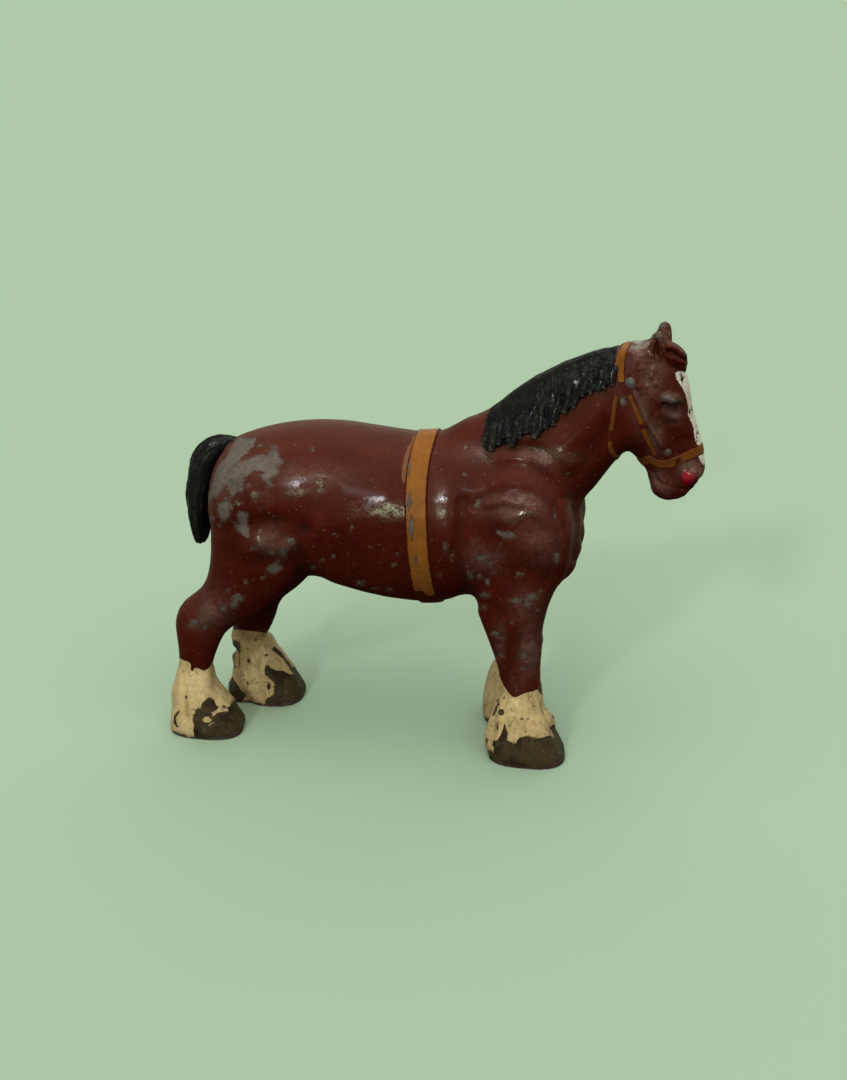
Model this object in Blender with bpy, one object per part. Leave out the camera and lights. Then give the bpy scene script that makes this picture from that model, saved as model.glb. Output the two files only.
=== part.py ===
"""A heavy farm horse as a hollow-cast lead toy, at its real size.

The horse faces +X, its left side is +Y and it stands on its four hooves at Z = 0.
Sizes are written in millimetres and turned into metres where a mesh is made.
The casting is a thin lead shell, poured out through a hole in the belly. The mane, tail, forelock,
harness, leg feathers and hooves are the features that stand out of it, each a solid of its own.
"""

import math
from collections import namedtuple

import bmesh
import bpy
from mathutils import Vector
from mathutils.bvhtree import BVHTree

MM = 0.001

# Trunk
BACK_HEIGHT = 54.4  # ground to the lowest point of the back
BARREL_DEPTH = 28.9  # back to girth
BARREL_WIDTH = 25.0
BODY_LENGTH = 64.0  # buttocks to breast
WITHERS_RISE = 3.2  # withers above the lowest point of the back
WALL = 1.6  # thickness of the cast shell
POUR_HOLE = 4.0  # diameter of the hole that the molten lead was poured back through

# Neck and head
NECK_REACH = 27.0  # withers to poll, level
NECK_RISE = 14.7  # withers to poll, upright
NECK_WIDTH = 19.0  # at the shoulders
HEAD_LENGTH = 27.0
HEAD_WIDTH = 10.0
EAR_LENGTH = 4.8
EAR_DEPTH = 4.4  # front to back at its root
EAR_WIDTH = 2.8
EAR_SPREAD = 4.6  # between the ears' middles

# Legs and feet
LEG_HEIGHT = 29.0  # ground to elbow
TRACK = 14.0  # between the middles of the left and right hooves
HIND_STRIDE = 7.2  # how far the left hind hoof stands ahead of the right one
FORE_STRIDE = -3.5  # and the left fore hoof
HOOF_LENGTH = 14.0
HOOF_WIDTH = 11.0
HOOF_HEIGHT = 5.2  # at the toe
FEATHER_TOP = 12.0  # ground to where the feather starts
HAIR_RIDGES = 0.22  # how far the ridges of the feather stand out

# Hair and harness that stand out of the casting
MANE_THICKNESS = 0.9
MANE_LOCKS = 10
LOCK_DROP = 1.6  # from the notch between two locks down to their tips
TAIL_LENGTH = 20.0
TAIL_WIDTH = 6.2
TAIL_THICKNESS = 4.7
FORELOCK_WIDTH = 3.4
FORELOCK_THICKNESS = 0.85
SURCINGLE_WIDTH = 3.3
SURCINGLE_THICKNESS = 0.6
STRAP_WIDTH = 1.0
NOSEBAND_WIDTH = 1.4
STRAP_THICKNESS = 0.45
ROSETTE_DIAMETER = 1.9
BIT_RING_DIAMETER = 1.6
STUD_HEIGHT = 0.65  # of the rosettes and bit rings
SEAT_GAP = 0.3  # between the casting and what is seated on it

# How finely the curved surfaces are cut
VOXEL = 0.55
SIDES = 28
CAST_DETAIL = 0.068  # share of the sculpted triangles that the casting keeps
HOLLOW_DETAIL = 0.07  # and that its hollow keeps

# Where things lie, worked out from the sizes above
TAIL_END_X = -0.57 * BODY_LENGTH
WITHERS = (TAIL_END_X + 0.695 * BODY_LENGTH, BACK_HEIGHT + WITHERS_RISE)
POLL = (WITHERS[0] + NECK_REACH, WITHERS[1] + NECK_RISE)
FORE_FOOT_X = TAIL_END_X + 0.87 * BODY_LENGTH
HIND_FOOT_X = TAIL_END_X - 0.025 * BODY_LENGTH
RIGHT, LEFT = -1, 1

# One cross-section of a form: its upper or front point and its lower or back point in the side view
# as (x, z), its width across the horse, where its middle lies across the horse, and how much narrower
# it is towards the first point.
Section = namedtuple("Section", "front back width y pear")

COLOURS = {
    "coat_paint": (0.085, 0.018, 0.012, 1.0),
    "hair_paint": (0.012, 0.013, 0.014, 1.0),
    "harness_paint": (0.30, 0.12, 0.025, 1.0),
    "feather_paint": (0.62, 0.52, 0.30, 1.0),
    "hoof_paint": (0.045, 0.035, 0.025, 1.0),
    "bare_lead": (0.16, 0.16, 0.16, 1.0),
}


def clear_scene():
    for item in list(bpy.data.objects):
        bpy.data.objects.remove(item)


def finish_of(name):
    """The painted or bare finish of that name."""
    found = bpy.data.materials.get(name)
    if found:
        return found
    made = bpy.data.materials.new(name)
    made.use_nodes = True
    shader = made.node_tree.nodes["Principled BSDF"]
    shader.inputs["Base Color"].default_value = COLOURS[name]
    shader.inputs["Roughness"].default_value = 0.45
    shader.inputs["Metallic"].default_value = 0.6 if name == "bare_lead" else 0.0
    made.diffuse_color = COLOURS[name]
    return made


def add_object(name, form, finish):
    """An object made of a bmesh in millimetres, with flat ends sharp and round faces smooth."""
    bmesh.ops.recalc_face_normals(form, faces=form.faces)
    bmesh.ops.scale(form, vec=(MM, MM, MM), verts=form.verts)
    mesh = bpy.data.meshes.new(name)
    form.to_mesh(mesh)
    form.free()
    mesh.materials.append(finish_of(finish))
    mesh.shade_smooth()
    mesh.set_sharp_from_angle(angle=math.radians(50))
    made = bpy.data.objects.new(name, mesh)
    bpy.context.scene.collection.objects.link(made)
    return made


def helper(made):
    """Marks an object as a cutter or a pattern, which isn't part of the horse."""
    made.hide_render = True
    made.display_type = "WIRE"
    return made


# Forms: lofts through cross-sections, and muscles


def between(before, a, b, after, share):
    """A point on the smooth curve through a and b."""
    return 0.5 * (
        2 * a
        + (b - before) * share
        + (2 * before - 5 * a + 4 * b - after) * share**2
        + (3 * a - before - 3 * b + after) * share**3
    )


def refined(sections, steps):
    """The sections with smooth ones added, steps to each gap."""
    rows = [(*s.front, *s.back, s.width, s.y, s.pear) for s in sections]
    rows = [rows[0], *rows, rows[-1]]
    made = []
    for i in range(1, len(rows) - 2):
        for k in range(steps):
            near = zip(rows[i - 1], rows[i], rows[i + 1], rows[i + 2])
            made.append([between(*values, k / steps) for values in near])
    made.append(rows[-2])
    return [Section((r[0], r[1]), (r[2], r[3]), r[4], r[5], r[6]) for r in made]


def ring_points(section, sides):
    """The points of an egg-shaped cross-section, from its front point round by the right side."""
    front, back = Vector(section.front), Vector(section.back)
    middle, half = (front + back) / 2, (front - back) / 2
    points = []
    for i in range(sides):
        turn = 2 * math.pi * i / sides
        side = -math.sin(turn) * section.width / 2 * (1 - section.pear * math.cos(turn))
        place = middle + half * math.cos(turn)
        points.append(Vector((place.x, section.y + side, place.y)))
    return points


def circle(radius, count):
    turns = [2 * math.pi * i / count for i in range(count)]
    return [Vector((math.cos(turn), math.sin(turn), 0)) * radius for turn in turns]


def add_rings(form, rings, closed=False):
    """Skins rings of equal length. Open runs get a flat cap at each end."""
    rows = [[form.verts.new(p) for p in ring] for ring in rings]
    pairs = list(zip(rows, rows[1:] + rows[:1])) if closed else list(zip(rows, rows[1:]))
    for a, b in pairs:
        for i in range(len(a)):
            j = (i + 1) % len(a)
            form.faces.new((a[i], a[j], b[j], b[i]))
    if not closed:
        form.faces.new(rows[0])
        form.faces.new(list(reversed(rows[-1])))


def add_loft(form, sections, steps=4, sides=SIDES):
    add_rings(form, [ring_points(s, sides) for s in refined(sections, steps)])


def add_muscle(form, middle, size, lean=0.0):
    """An ellipsoid of that size, leaned back in the side view by so many degrees."""
    made = bmesh.ops.create_uvsphere(form, u_segments=20, v_segments=12, radius=0.5)["verts"]
    turn = math.radians(lean)
    for vert in made:
        x, y, z = (c * s for c, s in zip(vert.co, size))
        vert.co = Vector(middle) + Vector(
            (x * math.cos(turn) - z * math.sin(turn), y, x * math.sin(turn) + z * math.cos(turn))
        )


# The horse's own forms


def trunk_sections():
    """Rump, barrel and breast."""
    girth = BACK_HEIGHT - BARREL_DEPTH
    shares = [  # along the body, rise of back, rise of belly, width, pear
        (-0.012, -0.27, 0.46, 0.42, 0.0),
        (0.02, -0.13, 0.31, 0.66, 0.0),
        (0.10, -0.035, 0.22, 0.86, 0.04),
        (0.21, 0.035, 0.13, 0.95, 0.06),
        (0.335, 0.060, 0.07, 0.98, 0.05),
        (0.46, 0.035, 0.010, 1.00, 0.05),
        (0.585, 0.012, -0.005, 1.00, 0.08),
        (0.64, 0.035, 0.015, 0.99, 0.12),
        (0.71, 0.085, 0.055, 0.97, 0.18),
        (0.80, 0.09, 0.10, 0.94, 0.20),
        (0.90, -0.01, 0.14, 0.86, 0.10),
        (0.967, -0.17, 0.22, 0.68, 0.0),
        (1.00, -0.33, 0.38, 0.40, 0.0),
    ]
    made = []
    for along, back, belly, width, pear in shares:
        x = TAIL_END_X + along * BODY_LENGTH
        top, bottom = BACK_HEIGHT + back * BARREL_DEPTH, girth + belly * BARREL_DEPTH
        made.append(Section((x, top), (x, bottom), width * BARREL_WIDTH, 0.0, pear))
    return made


def neck_point(reach, rise):
    return (WITHERS[0] + reach * NECK_REACH, WITHERS[1] + rise * NECK_RISE)


def neck_sections():
    shares = [  # crest reach and rise, gullet reach and rise, width, pear
        (-0.30, -0.31, 0.41, -1.67, 1.00, 0.1),
        (0.00, 0.03, 0.667, -1.27, 0.97, 0.2),
        (0.233, 0.30, 0.704, -0.898, 0.80, 0.2),
        (0.47, 0.59, 0.785, -0.667, 0.66, 0.24),
        (0.74, 0.82, 0.874, -0.415, 0.56, 0.24),
        (0.98, 0.95, 0.98, -0.177, 0.50, 0.2),
    ]
    made = []
    for crest_x, crest_z, gullet_x, gullet_z, width, pear in shares:
        front, back = neck_point(crest_x, crest_z), neck_point(gullet_x, gullet_z)
        made.append(Section(front, back, width * NECK_WIDTH, 0.0, pear))
    return made


def head_point(forward, down):
    return (POLL[0] + forward * HEAD_LENGTH, POLL[1] + down * HEAD_LENGTH)


def head_sections():
    shares = [  # face forward and down, jaw forward and down, width, pear
        (0.150, 0.00, -0.148, -0.067, 0.80, 0.0),
        (0.245, -0.12, -0.167, -0.252, 0.96, 0.0),
        (0.298, -0.27, -0.148, -0.437, 1.00, 0.06),
        (0.328, -0.419, -0.096, -0.604, 0.90, 0.10),
        (0.374, -0.548, 0.020, -0.735, 0.74, 0.06),
        (0.410, -0.678, 0.100, -0.835, 0.64, 0.0),
        (0.424, -0.789, 0.125, -0.920, 0.66, -0.05),
        (0.385, -0.90, 0.175, -0.990, 0.50, 0.0),
    ]
    return [
        Section(head_point(a, b), head_point(c, d), width * HEAD_WIDTH, 0.0, pear)
        for a, b, c, d, width, pear in shares
    ]


# How much of a foot's stride the leg takes at each share of its height
STRIDE_SHARES = ((0.0, 1.0), (0.41, 0.62), (0.65, 0.70), (0.95, 0.42), (1.25, 0.0))


def share_at(table, place):
    """The value that a table of (place, value) gives there."""
    if place <= table[0][0]:
        return table[0][1]
    for (a, low), (b, high) in zip(table, table[1:]):
        if place <= b:
            return low + (high - low) * (place - a) / (b - a)
    return table[-1][1]


def leg_sections(shares, foot_x, side, stride):
    """A leg whose foot stands at foot_x, moved by its stride at the foot and less further up."""
    made = []
    for front_x, front_z, back_x, back_z, width, spread in shares:
        points = []
        for x, z in ((front_x, front_z), (back_x, back_z)):
            swing = stride * share_at(STRIDE_SHARES, z)
            points.append((foot_x + x * LEG_HEIGHT + swing, z * LEG_HEIGHT))
        made.append(Section(*points, width * LEG_HEIGHT, side * spread * TRACK / 2, 0.0))
    return made


def fore_leg(side):
    shares = [  # front x and z, back x and z, width, spread
        (0.200, 1.450, -0.386, 1.450, 0.34, 0.84),
        (0.166, 1.140, -0.350, 1.100, 0.36, 0.92),
        (0.117, 0.983, -0.303, 0.950, 0.31, 0.98),
        (0.090, 0.845, -0.262, 0.828, 0.27, 1.00),
        (0.072, 0.690, -0.207, 0.690, 0.235, 1.00),
        (0.069, 0.552, -0.166, 0.552, 0.20, 1.00),
        (0.076, 0.431, -0.152, 0.431, 0.19, 1.00),
        (0.097, 0.330, -0.152, 0.330, 0.205, 1.00),
    ]
    return leg_sections(shares, FORE_FOOT_X, side, FORE_STRIDE if side == LEFT else 0.0)


def hind_leg(side):
    shares = [  # front x and z, back x and z, width, spread
        (0.728, 1.240, 0.072, 1.448, 0.44, 0.80),
        (0.710, 1.086, 0.072, 1.170, 0.38, 0.86),
        (0.520, 0.930, 0.020, 0.950, 0.32, 0.94),
        (0.331, 0.770, -0.117, 0.834, 0.25, 1.00),
        (0.183, 0.676, -0.172, 0.707, 0.22, 1.00),
        (0.114, 0.569, -0.164, 0.586, 0.20, 1.00),
        (0.068, 0.448, -0.160, 0.448, 0.186, 1.00),
        (0.045, 0.328, -0.180, 0.345, 0.20, 1.00),
    ]
    return leg_sections(shares, HIND_FOOT_X, side, HIND_STRIDE if side == LEFT else 0.0)


def add_ear(form, side):
    """A short pointed ear, a little open to the front."""
    root_x, root_z = head_point(0.10, -0.07)
    sections = []
    for rise, depth, width in ((-0.2, 1.0, 1.0), (0.25, 0.95, 1.0), (0.6, 0.73, 0.82), (1.0, 0.32, 0.46)):
        x, z = root_x + 0.22 * rise * EAR_LENGTH, root_z + rise * EAR_LENGTH
        reach = depth * EAR_DEPTH / 2
        points = ((x + reach, z - 0.14 * reach), (x - reach, z))
        sections.append(Section(*points, width * EAR_WIDTH, side * EAR_SPREAD / 2, 0.0))
    add_loft(form, sections, steps=3, sides=16)


def add_muscles(form, wall=0.0):
    """The swells of shoulder, breast, quarters and stifle that break up the plain lofts."""
    shoulder, quarter = FORE_FOOT_X, HIND_FOOT_X
    for start, along, across, down, length, width, height, lean in (
        (shoulder, -0.019, 0.60, 0.412, 0.25, 0.40, 0.727, 14),
        (shoulder, 0.056, 0.33, 0.547, 0.134, 0.32, 0.415, 8),
        (shoulder, -0.072, 0.66, 0.782, 0.134, 0.288, 0.311, 0),
        (quarter, 0.164, 0.58, 0.429, 0.281, 0.44, 0.657, -8),
        (quarter, 0.266, 0.62, 0.616, 0.141, 0.264, 0.381, 20),
    ):
        size = (length * BODY_LENGTH, width * BARREL_WIDTH, height * BARREL_DEPTH)
        inner = [part - 2 * wall for part in size]
        x, z = start + along * BODY_LENGTH, BACK_HEIGHT - down * BARREL_DEPTH
        for side in (RIGHT, LEFT):
            add_muscle(form, (x, side * across * BARREL_WIDTH / 2, z), inner, lean)


def add_head_muscles(form):
    """Brow, nostril and round cheek on each side of the head."""
    for place, across, size, lean in (
        (head_point(0.20, -0.31), 0.39, (0.34, 0.29, 0.26), -20),
        (head_point(0.350, -0.80), 0.25, (0.34, 0.26, 0.36), 0),
        (head_point(-0.01, -0.44), 0.27, (0.84, 0.54, 1.04), 0),
    ):
        size = [share * HEAD_WIDTH for share in size]
        for side in (RIGHT, LEFT):
            add_muscle(form, (place[0], side * across * HEAD_WIDTH, place[1]), size, lean)


def melt_and_ease(stock, rounds):
    """Turns overlapping forms into one skin and smooths it that many times."""
    melt = stock.modifiers.new("melt together", "REMESH")
    melt.mode = "VOXEL"
    melt.voxel_size = VOXEL * MM
    ease = stock.modifiers.new("ease the joins", "SMOOTH")
    ease.factor = 0.6
    ease.iterations = rounds


def sculpted_casting():
    """The whole outer form, before it is cut and thinned: a soft body, then crisper head and ears."""
    form = bmesh.new()
    add_loft(form, trunk_sections())
    add_loft(form, neck_sections())
    for side in (RIGHT, LEFT):
        add_loft(form, fore_leg(side))
        add_loft(form, hind_leg(side))
    add_muscles(form)
    soft = helper(add_object("soft_stock", form, "coat_paint"))
    melt_and_ease(soft, 26)

    form = bmesh.new()
    form.from_mesh(baked(soft, "soft_body", "coat_paint").data)
    bmesh.ops.scale(form, vec=(1 / MM, 1 / MM, 1 / MM), verts=form.verts)
    add_loft(form, head_sections())
    add_head_muscles(form)
    for side in (RIGHT, LEFT):
        add_ear(form, side)
    bpy.data.objects.remove(bpy.data.objects["soft_body"])
    stock = helper(add_object("casting_stock", form, "coat_paint"))
    melt_and_ease(stock, 5)
    return stock


def baked(source, name, finish):
    """A plain mesh object with the shape that source has after its modifiers."""
    graph = bpy.context.evaluated_depsgraph_get()
    mesh = bpy.data.meshes.new_from_object(source.evaluated_get(graph))
    mesh.materials.clear()
    mesh.materials.append(finish_of(finish))
    made = bpy.data.objects.new(name, mesh)
    bpy.context.scene.collection.objects.link(made)
    return made


def surface_of(source):
    """A search tree of the object's surface, in millimetres."""
    points = [v.co / MM for v in source.data.vertices]
    return BVHTree.FromPolygons(points, [list(p.vertices) for p in source.data.polygons])


def cut_level(made, height):
    """Cuts everything below that height away and closes the cut."""
    form = bmesh.new()
    form.from_mesh(made.data)
    everything = form.verts[:] + form.edges[:] + form.faces[:]
    plane = Vector((0, 0, height * MM))
    bmesh.ops.bisect_plane(
        form, geom=everything, plane_co=plane, plane_no=(0, 0, 1), clear_inner=True
    )
    bmesh.ops.holes_fill(form, edges=[e for e in form.edges if e.is_boundary])
    bmesh.ops.triangulate(form, faces=form.faces)
    form.to_mesh(made.data)
    form.free()


def cut_away(made, cutter, label):
    """Takes the cutter out of the object."""
    cut = made.modifiers.new(label, "BOOLEAN")
    cut.operation = "DIFFERENCE"
    cut.object = helper(cutter)


def thinned(sections):
    """The sections drawn in by the wall on every side."""
    made = []
    for s in sections:
        step = (Vector(s.back) - Vector(s.front)).normalized() * WALL
        front, back = Vector(s.front) + step, Vector(s.back) - step
        made.append(Section(tuple(front), tuple(back), s.width - 2 * WALL, s.y, s.pear))
    return made


def hollow_form():
    """The space that the lead was poured back out of: the barrel, the neck and the tops of the legs."""
    form = bmesh.new()
    add_loft(form, thinned(trunk_sections()[1:-1]), steps=3, sides=16)
    add_loft(form, thinned(neck_sections()[:-1]), steps=3, sides=16)
    for side in (RIGHT, LEFT):
        add_loft(form, thinned(fore_leg(side)[1:5]), steps=3, sides=16)
        add_loft(form, thinned(hind_leg(side)[:4]), steps=3, sides=16)
    add_muscles(form, WALL)
    stock = helper(add_object("hollow_stock", form, "bare_lead"))
    melt = stock.modifiers.new("melt together", "REMESH")
    melt.mode = "VOXEL"
    melt.voxel_size = 1.6 * VOXEL * MM
    thin = stock.modifiers.new("thin out", "DECIMATE")
    thin.ratio = HOLLOW_DETAIL
    return baked(stock, "hollow", "bare_lead")


def pour_hole_form():
    """A round hole up through the belly into the hollow."""
    form = bmesh.new()
    x = TAIL_END_X + 0.36 * BODY_LENGTH
    level = BACK_HEIGHT - BARREL_DEPTH
    rings = []
    for z in (level - BARREL_DEPTH / 8, level + BARREL_DEPTH / 2):
        rings.append([Vector((x, 0, z)) + flat for flat in circle(POUR_HOLE / 2, 20)])
    add_rings(form, rings)
    return add_object("pour_hole", form, "bare_lead")


def make_casting(stock):
    thin = stock.modifiers.new("thin out", "DECIMATE")
    thin.ratio = CAST_DETAIL
    casting = baked(stock, "body_casting", "coat_paint")
    cut_level(casting, FEATHER_TOP)
    cut_away(casting, hollow_form(), "hollow")
    cut_away(casting, pour_hole_form(), "pour hole")
    return casting


# Feet: a feather of long hair over a hoof, in the same outline


def leg_at(sections, height):
    """The front x, back x and width of a leg at that height."""
    rows = refined(sections, 12)
    near = min(rows, key=lambda s: abs((s.front[1] + s.back[1]) / 2 - height))
    return near.front[0], near.back[0], near.width, near.y


def add_foot(form, sections, foot_x, length, high):
    """A whole foot from the sole up to that height, in the outline of the leg that it carries."""
    top_front, top_back, top_width, y = leg_at(sections, FEATHER_TOP)
    half = length / 2
    shares = [  # height, toe, heel, width
        (0.0, 0.98, -0.90, 0.94),
        (0.06, 1.02, -0.94, 1.0),
        (0.25, 0.87, -0.95, 0.98),
        (0.50, 0.63, -0.86, 0.86),
        (0.75, 0.36, -0.75, 0.72),
    ]
    made = []
    for height, toe, heel, width in shares:
        z = height * FEATHER_TOP
        points = ((foot_x + toe * half, z), (foot_x + heel * half, z))
        made.append(Section(*points, width * HOOF_WIDTH, y, 0.0))
    points = ((top_front, FEATHER_TOP), (top_back, FEATHER_TOP))
    made.append(Section(*points, top_width, y, 0.0))
    rings = [foot_ring(section) for section in refined(made, 2) if section.front[1] <= high]
    top = Section((top_front, high), (top_back, high), top_width, y, 0.0)
    add_rings(form, rings + [ring_points(top, SIDES)])


def foot_ring(section):
    """A ring that is squarish near the ground, and raised into ridges of hair half-way up."""
    height = max(0.0, section.front[1] / FEATHER_TOP)
    power = 2.0 + 0.9 * (1 - height)
    tufts = HAIR_RIDGES * math.sin(math.pi * height) ** 2
    middle = (section.front[0] + section.back[0]) / 2
    ring = []
    for i, point in enumerate(ring_points(section, SIDES)):
        turn = 2 * math.pi * i / SIDES
        lift = (abs(math.cos(turn)) ** power + abs(math.sin(turn)) ** power) ** (-1 / power)
        reach = lift * (1 + (tufts if i % 4 else -tufts) / HOOF_WIDTH)
        flat = Vector((point.x - middle, point.y - section.y, 0)) * reach
        ring.append(Vector((middle + flat.x, section.y + flat.y, point.z)))
    return ring


def hoof_mask(name, foot_x, y, length, heel, grow):
    """The block that holds the hoof and leaves the hair: upright at the heel, level at the coronet."""
    back = foot_x - heel * length / 2 - grow
    below = -HOOF_HEIGHT / 2
    outline = [
        (back - 0.03 * length, below),
        (back, 0.50 * HOOF_HEIGHT),
        (back + 0.13 * length, 0.84 * HOOF_HEIGHT + grow),
        (foot_x + 0.2 * length, HOOF_HEIGHT + grow),
        (foot_x + length, HOOF_HEIGHT + grow),
        (foot_x + length, below),
    ]
    form = bmesh.new()
    rings = [[Vector((x, y + s * HOOF_WIDTH, z)) for x, z in outline] for s in (-1, 1)]
    add_rings(form, rings)
    return add_object(name, form, "hoof_paint")


def make_foot(place, sections, foot_x, side, length, heel):
    """One foot as two solids: the feather and the hoof under it."""
    for part, operation, grow, top in (
        ("hoof", "INTERSECT", 0.0, FEATHER_TOP),
        ("feather", "DIFFERENCE", SEAT_GAP, FEATHER_TOP - SEAT_GAP),
    ):
        form = bmesh.new()
        add_foot(form, sections, foot_x, length, top)
        made = add_object(f"{part}_{place}", form, f"{part}_paint")
        mask = hoof_mask(f"{part}_{place}_mask", foot_x, side * TRACK / 2, length, heel, grow)
        cut = made.modifiers.new("coronet", "BOOLEAN")
        cut.operation = operation
        cut.object = helper(mask)


def make_feet():
    left_fore = FORE_FOOT_X + FORE_STRIDE
    left_hind = HIND_FOOT_X + HIND_STRIDE
    make_foot("fore_right", fore_leg(RIGHT), FORE_FOOT_X, RIGHT, HOOF_LENGTH, 0.86)
    make_foot("fore_left", fore_leg(LEFT), left_fore, LEFT, 0.88 * HOOF_LENGTH, 0.86)
    make_foot("hind_right", hind_leg(RIGHT), HIND_FOOT_X, RIGHT, HOOF_LENGTH, 0.48)
    make_foot("hind_left", hind_leg(LEFT), left_hind, LEFT, HOOF_LENGTH, 0.48)


# What is seated on the casting's skin


def nearest(skin, point):
    place, normal, _, _ = skin.find_nearest(Vector(point))
    return place, normal


def struck(skin, origin, direction):
    """Where a line from inside the casting comes out through its skin."""
    place, normal, _, _ = skin.ray_cast(Vector(origin), Vector(direction).normalized())
    return place, normal


def arc_on_skin(skin, middle, up, start, stop, count):
    """Points round the casting in the plane of Y and up, from one angle to another in degrees.
    Zero is up, and positive angles turn to the right side."""
    points = []
    up = Vector((up[0], 0, up[1])).normalized()
    for i in range(count):
        turn = math.radians(start + (stop - start) * i / (count - 1))
        ray = up * math.cos(turn) + Vector((0, -1, 0)) * math.sin(turn)
        points.append(struck(skin, (middle[0], 0, middle[1]), ray)[0])
    return points


def line_on_side(skin, ends, side, count):
    """Points on one side of the head along a straight line in the side view."""
    a, b = Vector(ends[0]), Vector(ends[1])
    points = []
    for i in range(count):
        place = a.lerp(b, i / (count - 1))
        points.append(struck(skin, (place.x, 0, place.y), (0, side, 0))[0])
    return points


def add_strap(form, skin, path, width, thickness, closed=False, across=4):
    """A flat strap laid along points on the skin."""
    rings = []
    count = len(path)
    for i, point in enumerate(path):
        before = path[i - 1] if closed or i else path[i]
        after = path[(i + 1) % count] if closed or i < count - 1 else path[i]
        along = (after - before).normalized()
        normal = nearest(skin, point)[1]
        sideways = normal.cross(along).normalized()
        low, high = [], []
        for k in range(across):
            reach = (k / (across - 1) - 0.5) * width
            place, out = nearest(skin, point + sideways * reach)
            low.append(place + out * SEAT_GAP)
            high.append(place + out * (SEAT_GAP + thickness))
        rings.append(low + list(reversed(high)))
    add_rings(form, rings, closed)


def make_surcingle(skin):
    """The belly band, which slants forward under the girth."""
    middle = (TAIL_END_X + 0.585 * BODY_LENGTH, BACK_HEIGHT - BARREL_DEPTH / 2)
    path = arc_on_skin(skin, middle, (-1.4, BARREL_DEPTH / 2), 0, 351, 40)
    form = bmesh.new()
    add_strap(form, skin, path, SURCINGLE_WIDTH, SURCINGLE_THICKNESS, closed=True)
    add_object("surcingle", form, "harness_paint")


def make_bridle(skin):
    """Headpiece over the poll, throat lash, noseband, and on each side a cheek strap and two studs."""
    for name, place, up, start, stop, width in (
        ("headpiece", head_point(-0.115, -0.38), (0.08, 1), -50, 50, STRAP_WIDTH),
        ("throat_lash", head_point(-0.133, -0.49), (0.06, 1), 46, 314, STRAP_WIDTH),
        ("noseband", head_point(0.235, -0.71), (1, 0.40), 0, 345, NOSEBAND_WIDTH),
    ):
        closed = stop > 340
        form = bmesh.new()
        path = arc_on_skin(skin, place, up, start, stop, 12 + abs(stop - start) // 20)
        add_strap(form, skin, path, width, STRAP_THICKNESS, closed)
        add_object(name, form, "harness_paint")

    for side, word in ((RIGHT, "right"), (LEFT, "left")):
        form = bmesh.new()
        ends = (head_point(-0.063, -0.30), head_point(0.1185, -0.64))
        add_strap(form, skin, line_on_side(skin, ends, side, 12), STRAP_WIDTH, STRAP_THICKNESS)
        add_object(f"cheek_strap_{word}", form, "harness_paint")
        add_boss(skin, f"rosette_{word}", head_point(-0.037, -0.215), ROSETTE_DIAMETER, side)
        add_boss(skin, f"bit_ring_{word}", head_point(0.207, -0.64), BIT_RING_DIAMETER, side)


def add_boss(skin, name, place, diameter, side):
    """A small domed stud, square to the skin and seated where its rim meets it."""
    point, out = struck(skin, (place[0], 0, place[1]), (0, side, 0))
    turn = out.to_track_quat("Z", "Y")
    rim = [point + turn @ flat for flat in circle(diameter / 2, 16)]
    sunk = []
    for spot in rim + [point]:
        place_below, out_below = nearest(skin, spot)
        sunk.append((spot - place_below).dot(out_below))
    base = point + out * (SEAT_GAP - min(sunk))
    rings = []
    for share, rise in ((1.0, 0.0), (1.0, 0.46), (0.8, 0.8), (0.4, 1.0)):
        lift = Vector((0, 0, rise * STUD_HEIGHT))
        rings.append([base + turn @ (flat + lift) for flat in circle(diameter / 2 * share, 16)])
    form = bmesh.new()
    add_rings(form, rings)
    add_object(name, form, "bare_lead")


def skin_patch(skin, grid, thickness):
    """A closed solid over a grid of rays, each (origin, direction), as thick as it is told."""
    form = bmesh.new()
    low, high = [], []
    for i, row in enumerate(grid):
        inner, outer = [], []
        for k, (origin, direction) in enumerate(row):
            place, out = struck(skin, origin, direction)
            inner.append(form.verts.new(place + out * SEAT_GAP))
            outer.append(form.verts.new(place + out * (SEAT_GAP + thickness(i, k))))
        low.append(inner)
        high.append(outer)
    rows, columns = len(grid), len(grid[0])
    for i in range(rows - 1):
        for k in range(columns - 1):
            form.faces.new((low[i][k], low[i][k + 1], low[i + 1][k + 1], low[i + 1][k]))
            form.faces.new((high[i][k], high[i + 1][k], high[i + 1][k + 1], high[i][k + 1]))
    edge = [(0, k) for k in range(columns)]
    edge += [(i, columns - 1) for i in range(1, rows)]
    edge += [(rows - 1, k) for k in range(columns - 2, -1, -1)]
    edge += [(i, 0) for i in range(rows - 2, 0, -1)]
    for (a, b), (c, d) in zip(edge, edge[1:] + edge[:1]):
        form.faces.new((low[a][b], low[c][d], high[c][d], high[a][b]))
    return form


def lock_tip(share):
    """Nought in the notch between two locks of the mane, rising to 1 at a lock's tip."""
    return 1 - abs(2 * ((MANE_LOCKS * share) % 1) - 1)


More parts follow.
